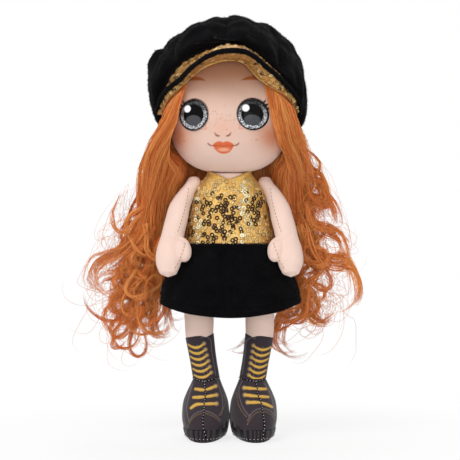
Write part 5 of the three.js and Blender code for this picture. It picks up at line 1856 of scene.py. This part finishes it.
# Locks as the photograph shows them: pixels, depths, half widths, half thicknesses, clumps, twist.
# The first of each side frames the face and is combed flat.
LOCKS = {
    "left": [
        ([(268, 68), (271, 79), (274, 90), (276, 102), (278, 114), (281, 126), (284, 139),
          (291, 152), (298, 168), (302, 186)],
         [-24, -27, -26, -20, -10, 0], [3.5, 8, 10.5, 11, 9, 7], [2.5, 3.5, 4, 5, 5], 42, 0.1),
        ([(284, 106), (291, 118), (298, 130), (308, 138), (318, 141), (325, 146), (322, 155)],
         [2, 4, 6], [4, 3, 1.5], [4, 3, 1.5], 6, 0.5),
        ([(300, 150), (296, 170), (305, 179), (319, 177), (331, 186), (331, 199), (319, 207),
          (302, 208), (293, 196)],
         [4, 6, 10, 12], [3.6, 3, 2.2, 1.4], [4, 3.5, 3, 2], 6, 0.5),
        ([(298, 176), (308, 196), (326, 204), (343, 205), (352, 212), (351, 222), (343, 229),
          (333, 227)],
         [6, 12, 14, 12], [4.5, 3.6, 2.8, 2], [5, 4, 3.4, 2], 7, 0.8),
        ([(302, 203), (312, 222), (328, 230), (344, 238), (354, 248), (350, 258), (337, 258)],
         [8, 14, 14, 12], [4.5, 4, 3, 2], [5, 4, 3.5, 2], 6, 0.8),
        ([(300, 225), (310, 246), (326, 260), (345, 264), (358, 272), (364, 285), (358, 298),
          (346, 306), (333, 305)],
         [8, 15, 16, 13], [4.5, 4.5, 3.4, 2], [5, 4.5, 4, 2], 8, 0.9),
        ([(300, 255), (299, 282), (302, 304), (311, 320), (322, 326), (330, 317), (325, 305),
          (313, 302)],
         [14, 20, 20, 16], [4.5, 4, 3, 1.8], [4.5, 4, 3, 1.8], 6, 0.8),
        ([(294, 262), (290, 288), (282, 312), (275, 330), (275, 344), (286, 351), (299, 349),
          (308, 343)],
         [20, 26, 27, 22], [5, 4, 3, 1.8], [4.5, 4, 3, 1.6], 6, 0.8),
        ([(280, 262), (270, 292), (259, 318), (250, 335), (244, 344), (236, 349)],
         [24, 28, 28], [5, 4, 1.6], [4, 3.5, 1.5], 5, 0.5),
    ],
    "right": [
        ([(194, 68), (188, 82), (183, 92), (179, 104), (175, 116), (169, 128), (161, 142),
          (155, 158), (151, 180), (148, 204)],
         [-16, -24, -25, -20, -10, 0], [2.5, 6, 7, 7.5, 7.5, 7], [2, 3, 4, 5, 5], 36, 0.1),
        ([(168, 102), (160, 120), (154, 138), (148, 160), (144, 182), (142, 206), (138, 226),
          (128, 243), (113, 255), (98, 264), (91, 276), (97, 289), (112, 296), (128, 298)],
         [4, 6, 10, 13, 11], [3, 4, 4.5, 4, 2.4], [6, 5, 4, 3.5, 2], 10, 0.8),
        ([(152, 225), (142, 246), (130, 262), (116, 272), (103, 275), (97, 284), (103, 292)],
         [8, 14, 12], [4.5, 4, 2], [5, 4, 1.8], 6, 0.7),
        ([(156, 235), (150, 260), (141, 284), (128, 300), (113, 311), (103, 323)],
         [8, 15, 13], [4.5, 4.5, 2], [5, 4, 1.6], 6, 0.7),
        ([(158, 240), (155, 268), (150, 296), (141, 316), (132, 330), (136, 341), (147, 343)],
         [8, 16, 16, 13], [5, 4.5, 3.4, 1.8], [5, 4, 3, 1.6], 7, 0.8),
        ([(162, 250), (160, 278), (156, 304), (152, 322), (156, 336), (168, 337), (176, 327)],
         [8, 17, 18, 15], [5, 4.5, 3.5, 2], [5, 4, 3, 1.8], 7, 0.8),
        ([(168, 262), (169, 290), (170, 312), (175, 326), (183, 324)],
         [10, 20, 18], [5, 4, 2], [4.5, 3.5, 1.8], 6, 0.6),
        ([(150, 230), (138, 250), (126, 262), (129, 276), (144, 280), (151, 270), (144, 262)],
         [6, 9, 9, 10], [4.5, 3.6, 3, 2], [4, 3.6, 3, 1.8], 6, 0.9),
        ([(150, 262), (141, 280), (125, 290), (112, 304), (120, 318), (134, 320)],
         [10, 18, 16], [5, 4, 2], [4.5, 3.6, 1.8], 6, 0.8),
    ],
}

# Falls as x, y, z from the head's middle and half sizes across and through.
FALLS = {
    "left": [
        [36, -3, 15, 2.5, 20], [39.5, 0, -2, 3.5, 21], [41, 4, -18, 9, 18], [40, 9, -34, 12.5, 15],
        [40.5, 13, -50, 14, 11], [42, 15, -65, 15, 7.5], [46, 16, -80, 13, 7.5],
        [53, 15, -95, 12, 8], [61, 14, -106, 10, 7],
    ],
    "right": [
        [-36.5, -3, 15, 2.5, 20], [-40, 0, -2, 3.5, 21], [-40, 5, -20, 10, 18],
        [-42, 9, -36, 13.5, 15], [-46.5, 12, -52, 13, 11], [-48.5, 14, -68, 13, 7.5],
        [-50.5, 15, -84, 12.5, 7.5], [-54, 15, -98, 13, 8], [-56, 15, -112, 11, 7],
    ],
    "back": [
        [0, 26, 0, 34, 7], [0, 27, -14, 40, 7.5], [0, 29, -30, 45, 8], [0, 29, -50, 46, 8],
        [0, 30, -75, 43, 7.5], [1, 34, -100, 40, 6.5], [2, 36, -120, 34, 5.5], [2, 35, -134, 29, 4],
    ],
}


def fall_core(rows):
    """The inside of a fall, dark with painted shade: its section, shrunk, carried along its middle and
    thinned to an edge at its lower end."""
    share = np.linspace(0, 1, 40)
    t = 0.78 * share
    middle = curve(rows[:, :3] + [0, 0, HEAD_Z], t)[None]
    _, across, off = section_axes(middle, (1, 0, 0))
    thin = np.clip((1 - share) / 0.3, 0.08, 1)
    w, h = (np.interp(t, np.linspace(0, 1, len(rows)), rows[:, k]) for k in (3, 4))
    w, h = 0.8 * w * (0.4 + 0.6 * thin), 0.7 * h * thin
    a = around(20)
    rings = middle[0][:, None] + across[0][:, None] * (np.cos(a)[None] * w[:, None])[..., None]
    return loft(kept_out(rings + off[0][:, None] * (np.sin(a)[None] * h[:, None])[..., None]))


class DOLL_OT_hair(bpy.types.Operator):
    """Curled hair: thousands of tapered strands in clumps along falls, locks and ringlets"""

    bl_idname = "doll.hair"
    bl_label = "Hair"

    def execute(self, context):
        per = max(4, int(18 * context.scene.doll_sizes.hair_density))
        self.scalp()
        for name, side in SIDES:
            node = f"hair_side_{name}"
            combed, *curled = LOCKS[name]
            pixels, depths, wide, thick, count, twist = combed
            middle = at_depth(pixels, depths)
            lines = clumps(middle, wide, thick, count, 100, 16, (1, 0, 0), twist, 0.7, (0.9, 1))
            strands = bundle(lines, per, [1.4, 1.9, 2.2], 110, 0.4)
            hair_piece(f"hair_front_{name}", [(strands, per)], node)
            groups = []
            for i, (pixels, depths, wide, thick, count, twist) in enumerate(curled):
                middle, seed = at_depth(pixels, depths), 120 + 7 * i + side
                lines = clumps(middle, wide, thick, count, seed, 24, twist=twist, spread=2.0)
                strands = bundle(lines, per, [0.8, 2.0, 1.9, 1.6, 1.2, 0.8], 140 + i, 0.7)
                groups.append((strands, per))
            hair_piece(f"hair_locks_{name}", groups, node)
            self.curls(name, side, per, node)
        for name in FALLS:
            rows = np.array(FALLS[name], float)
            node = "hair_back" if name == "back" else f"hair_side_{name}"
            count = 56 if name == "back" else 42
            middle, wide, thick = rows[:, :3] + [0, 0, HEAD_Z], rows[:, 3], rows[:, 4]
            flat, seed = (1, 0, 0), 300 + len(name)
            lines = clumps(middle, wide, thick, count, seed, 18, flat, 0.04, 1.0, (0.82, 1), 0.55)
            strands = bundle(lines, per, [1.2, 2.0, 2.2, 1.4], 310, 0.7, ends=(0.85, 1))
            hair_piece(f"hair_fall_{name}", [(strands, per)], node)
            wide, thick = 1.3 * wide, 1.3 * thick
            loose = clumps(middle, wide, thick, 90, seed + 20, 18, flat, 0.1, 2.4, (0.6, 1))
            hair_piece(f"hair_loose_{name}", [(loose, 1)], node, 0.5)
            core = build(f"hair_core_{name}", fall_core(rows), "core")
            finished(core)
            bend_with_head(core)
        self.curls("back", 0, per, "hair_back")
        return {"FINISHED"}

    def curls(self, name, side, per, node):
        """Ringlets that leave the fall all the way down, and single wisps round them. side is 0
        for the back, whose ringlets hang from its lower half."""
        rng = np.random.default_rng(400 + side)

        def made(count, lengths, turns, seed, spread, steps):
            down, off = rng.uniform(0, 1, count), spread * np.abs(rng.normal(size=count))
            heading = -rng.uniform(0.1, 1.5, count)
            whirl = rng.uniform(*turns, count) * np.where(rng.random(count) < 0.8, -1, 1)
            if side > 0:
                x, z, y = 45 + PIXEL * off, 192 - 105 * down, rng.uniform(4, 26, count)
            elif side < 0:
                x, z, y = -52 - 6 * down - PIXEL * off, 156 - 76 * down, rng.uniform(4, 26, count)
                heading, whirl = math.pi - heading, -whirl
            else:
                x, z, y = rng.uniform(-38, 40, count), 132 - 34 * down, rng.uniform(32, 40, count)
                heading = -math.pi / 2 + rng.normal(0, 0.35, count)
                whirl *= 0.9 * np.sign(rng.normal(size=count))
                lengths = (0.6 * lengths[0], 0.7 * lengths[1])
            starts = np.stack([x, z], -1)
            return ringlets(starts, heading, rng.uniform(*lengths, count), whirl, y, seed, steps)

        lines = made(40 if side else 34, (32, 66), (2.5, 6.5), 410, 4, 24)
        groups = [(bundle(lines, per, [1.8, 1.6, 1.2, 0.6], 420 + side, 0.6), per)]
        hair_piece(f"hair_ringlets_{name}", groups, node)
        wisps = made(440 if side else 40, (18, 62), (1.5, 8), 430, 16, 24)
        hair_piece(f"hair_wisps_{name}", [(wisps, 1)], node, 0.6)

    def scalp(self):
        """A thin layer of hair combed down from the crown: the head's superellipsoid grown, each
        column of the grid starting at the cap band's lower edge, with a tone and a height of its
        own."""
        rng = np.random.default_rng(600)
        turn = around(300)
        latitudes = np.linspace(-70, 88, 240)
        layers = []
        for grow in (2.0, 0.4):
            rings = head_rings(latitudes, turn, grow)
            local = head_to_cap(rings)
            facing = np.arctan2(local[..., 1], local[..., 0])
            lower = np.interp(np.degrees(facing), [-50, -30, 140, 180], [0, 1, 1, 0])
            low = np.maximum(band_low(facing), -4 - 4 * lower) + 3 - 1.4 * lower
            start = np.argmax(local[..., 2] > low, axis=0)
            row = np.linspace(start, len(latitudes) - 1, 24).astype(int)
            layers.append(rings[row, np.arange(len(turn))])
        tall = 1 - 0.009 * rng.random(len(turn))[:, None]
        rings = from_head(np.concatenate([layers[0][::-1] * tall, layers[1]]))
        top = from_head(np.array([[0, 0, HEAD_ABOVE + 1.8], [0, 0, HEAD_ABOVE + 0.4]]))
        tone = fibre_tones(rng.normal(1.1, 0.45, len(turn)))
        ends = flat_paint(top, bpy.context.scene.doll_colours.hair)
        paint = np.concatenate([np.tile(tone, (len(rings), 1)), ends])
        piece = build("scalp_layer", loft(rings, top), "hair", paint=paint)
        finished(piece, "head", "hair_scalp")


# Stage


class DOLL_OT_stage(bpy.types.Operator):
    """Pale floor, soft studio light, white background and the camera"""

    bl_idname = "doll.stage"
    bl_label = "Stage"

    def execute(self, context):
        scene = context.scene
        scene.view_settings.view_transform = "Standard"
        points = 3000 * np.array([[-1, -1, 0], [1, -1, 0], [1, 1, 0], [-1, 1, 0]])
        mesh = bpy.data.meshes.new("floor")
        mesh.from_pydata(place(points).tolist(), [], [(0, 1, 2, 3)])
        floor = bpy.data.objects.new("floor", mesh)
        scene.collection.objects.link(floor)
        paper = bpy.data.materials.new("white_paper_floor")
        paper.use_nodes = True
        tree = paper.node_tree
        shader = tree.nodes["Principled BSDF"]
        shader.inputs["Base Color"].default_value = (0.9, 0.9, 0.9, 1)
        shader.inputs["Roughness"].default_value = 1
        glow = add(tree, "ShaderNodeEmission", {"Color": (1, 1, 1, 1), "Strength": 1.0})
        place_on = add(tree, "ShaderNodeTexCoord").outputs["Object"]
        away = add(tree, "ShaderNodeVectorMath", {0: place_on}, operation="LENGTH")
        share = add(
            tree, "ShaderNodeMapRange",
            {"Value": away.outputs["Value"], "From Min": 0.06, "From Max": 0.25, "To Min": 0.78},
            interpolation_type="SMOOTHSTEP",
        )
        part = add(
            tree, "ShaderNodeMath", {0: self.seen(tree), 1: share.outputs[0]}, operation="MULTIPLY"
        )
        mix = add(
            tree, "ShaderNodeMixShader",
            {0: part.outputs[0], 1: shader.outputs[0], 2: glow.outputs[0]},
        )
        tree.links.new(mix.outputs[0], tree.nodes["Material Output"].inputs["Surface"])
        mesh.materials.append(paper)
        world = bpy.data.worlds.new("studio")
        world.use_nodes = True
        tree = world.node_tree
        back = tree.nodes["Background"]
        level = add(tree, "ShaderNodeMapRange", {"Value": self.seen(tree), "To Min": 0.42})
        back.inputs["Color"].default_value = (1, 1, 1, 1)
        tree.links.new(level.outputs[0], back.inputs["Strength"])
        scene.world = world
        for name, at, wide, power in (
            ("key", (-0.5, -0.65, 1.05), 0.6, 6.9),
            ("fill", (0.5, -0.9, 0.35), 0.9, 1.45),
            ("low", (0.1, -0.95, 0.08), 0.5, 2.2),
            ("rim", (0.1, 0.8, 0.8), 0.8, 4.0),
        ):
            lamp = bpy.data.lights.new(name, "AREA")
            lamp.size, lamp.energy = wide, power
            holder = bpy.data.objects.new(name, lamp)
            holder.location = at
            holder.rotation_mode = "QUATERNION"
            holder.rotation_quaternion = (Vector(at) - Vector((0, 0, 0.14))).to_track_quat("Z", "Y")
            scene.collection.objects.link(holder)
        camera = bpy.data.cameras.new("camera")
        camera.lens, camera.sensor_width = 118.58, 36
        holder = bpy.data.objects.new("camera", camera)
        holder.location = Vector(place([0.33, -CAMERA_AWAY, CAMERA_Z]))
        holder.rotation_euler = (math.pi / 2, 0, 0)
        scene.collection.objects.link(holder)
        scene.camera = holder
        return {"FINISHED"}

    def seen(self, tree):
        """1 for the rays that show the background: from the camera, in gloss and through glass."""
        path = add(tree, "ShaderNodeLightPath")
        both = add(
            tree, "ShaderNodeMath", {0: path.outputs["Is Camera Ray"], 1: path.outputs["Is Glossy Ray"]},
            operation="MAXIMUM",
        )
        return add(
            tree, "ShaderNodeMath", {0: both.outputs[0], 1: path.outputs["Is Transmission Ray"]},
            operation="MAXIMUM",
        ).outputs[0]


OPERATORS = (
    DOLL_OT_head, DOLL_OT_eyes, DOLL_OT_torso, DOLL_OT_arms, DOLL_OT_legs, DOLL_OT_boots,
    DOLL_OT_top, DOLL_OT_skirt, DOLL_OT_cap, DOLL_OT_hair, DOLL_OT_stage,
)


class DOLL_PT_panel(bpy.types.Panel):
    """Lists the doll's pieces and settings in the sidebar"""

    bl_label = "Soft Doll"
    bl_idname = "DOLL_PT_panel"
    bl_space_type = "VIEW_3D"
    bl_region_type = "UI"
    bl_category = "Soft Doll"

    def draw(self, context):
        for operator in OPERATORS:
            self.layout.operator(operator.bl_idname)
        for group in (context.scene.doll_sizes, context.scene.doll_colours):
            box = self.layout.box()
            for key in group.bl_rna.properties.keys():
                if key not in ("rna_type", "name"):
                    box.prop(group, key)


CLASSES = (DollColours, DollSizes, *OPERATORS, DOLL_PT_panel)


def register():
    for item in CLASSES:
        bpy.utils.register_class(item)
    bpy.types.Scene.doll_colours = PointerProperty(type=DollColours)
    bpy.types.Scene.doll_sizes = PointerProperty(type=DollSizes)


def unregister():
    del bpy.types.Scene.doll_sizes
    del bpy.types.Scene.doll_colours
    for item in reversed(CLASSES):
        bpy.utils.unregister_class(item)


def main():
    register()
    for operator in OPERATORS:
        group, name = operator.bl_idname.split(".")
        getattr(getattr(bpy.ops, group), name)()


if __name__ == "__main__":
    main()
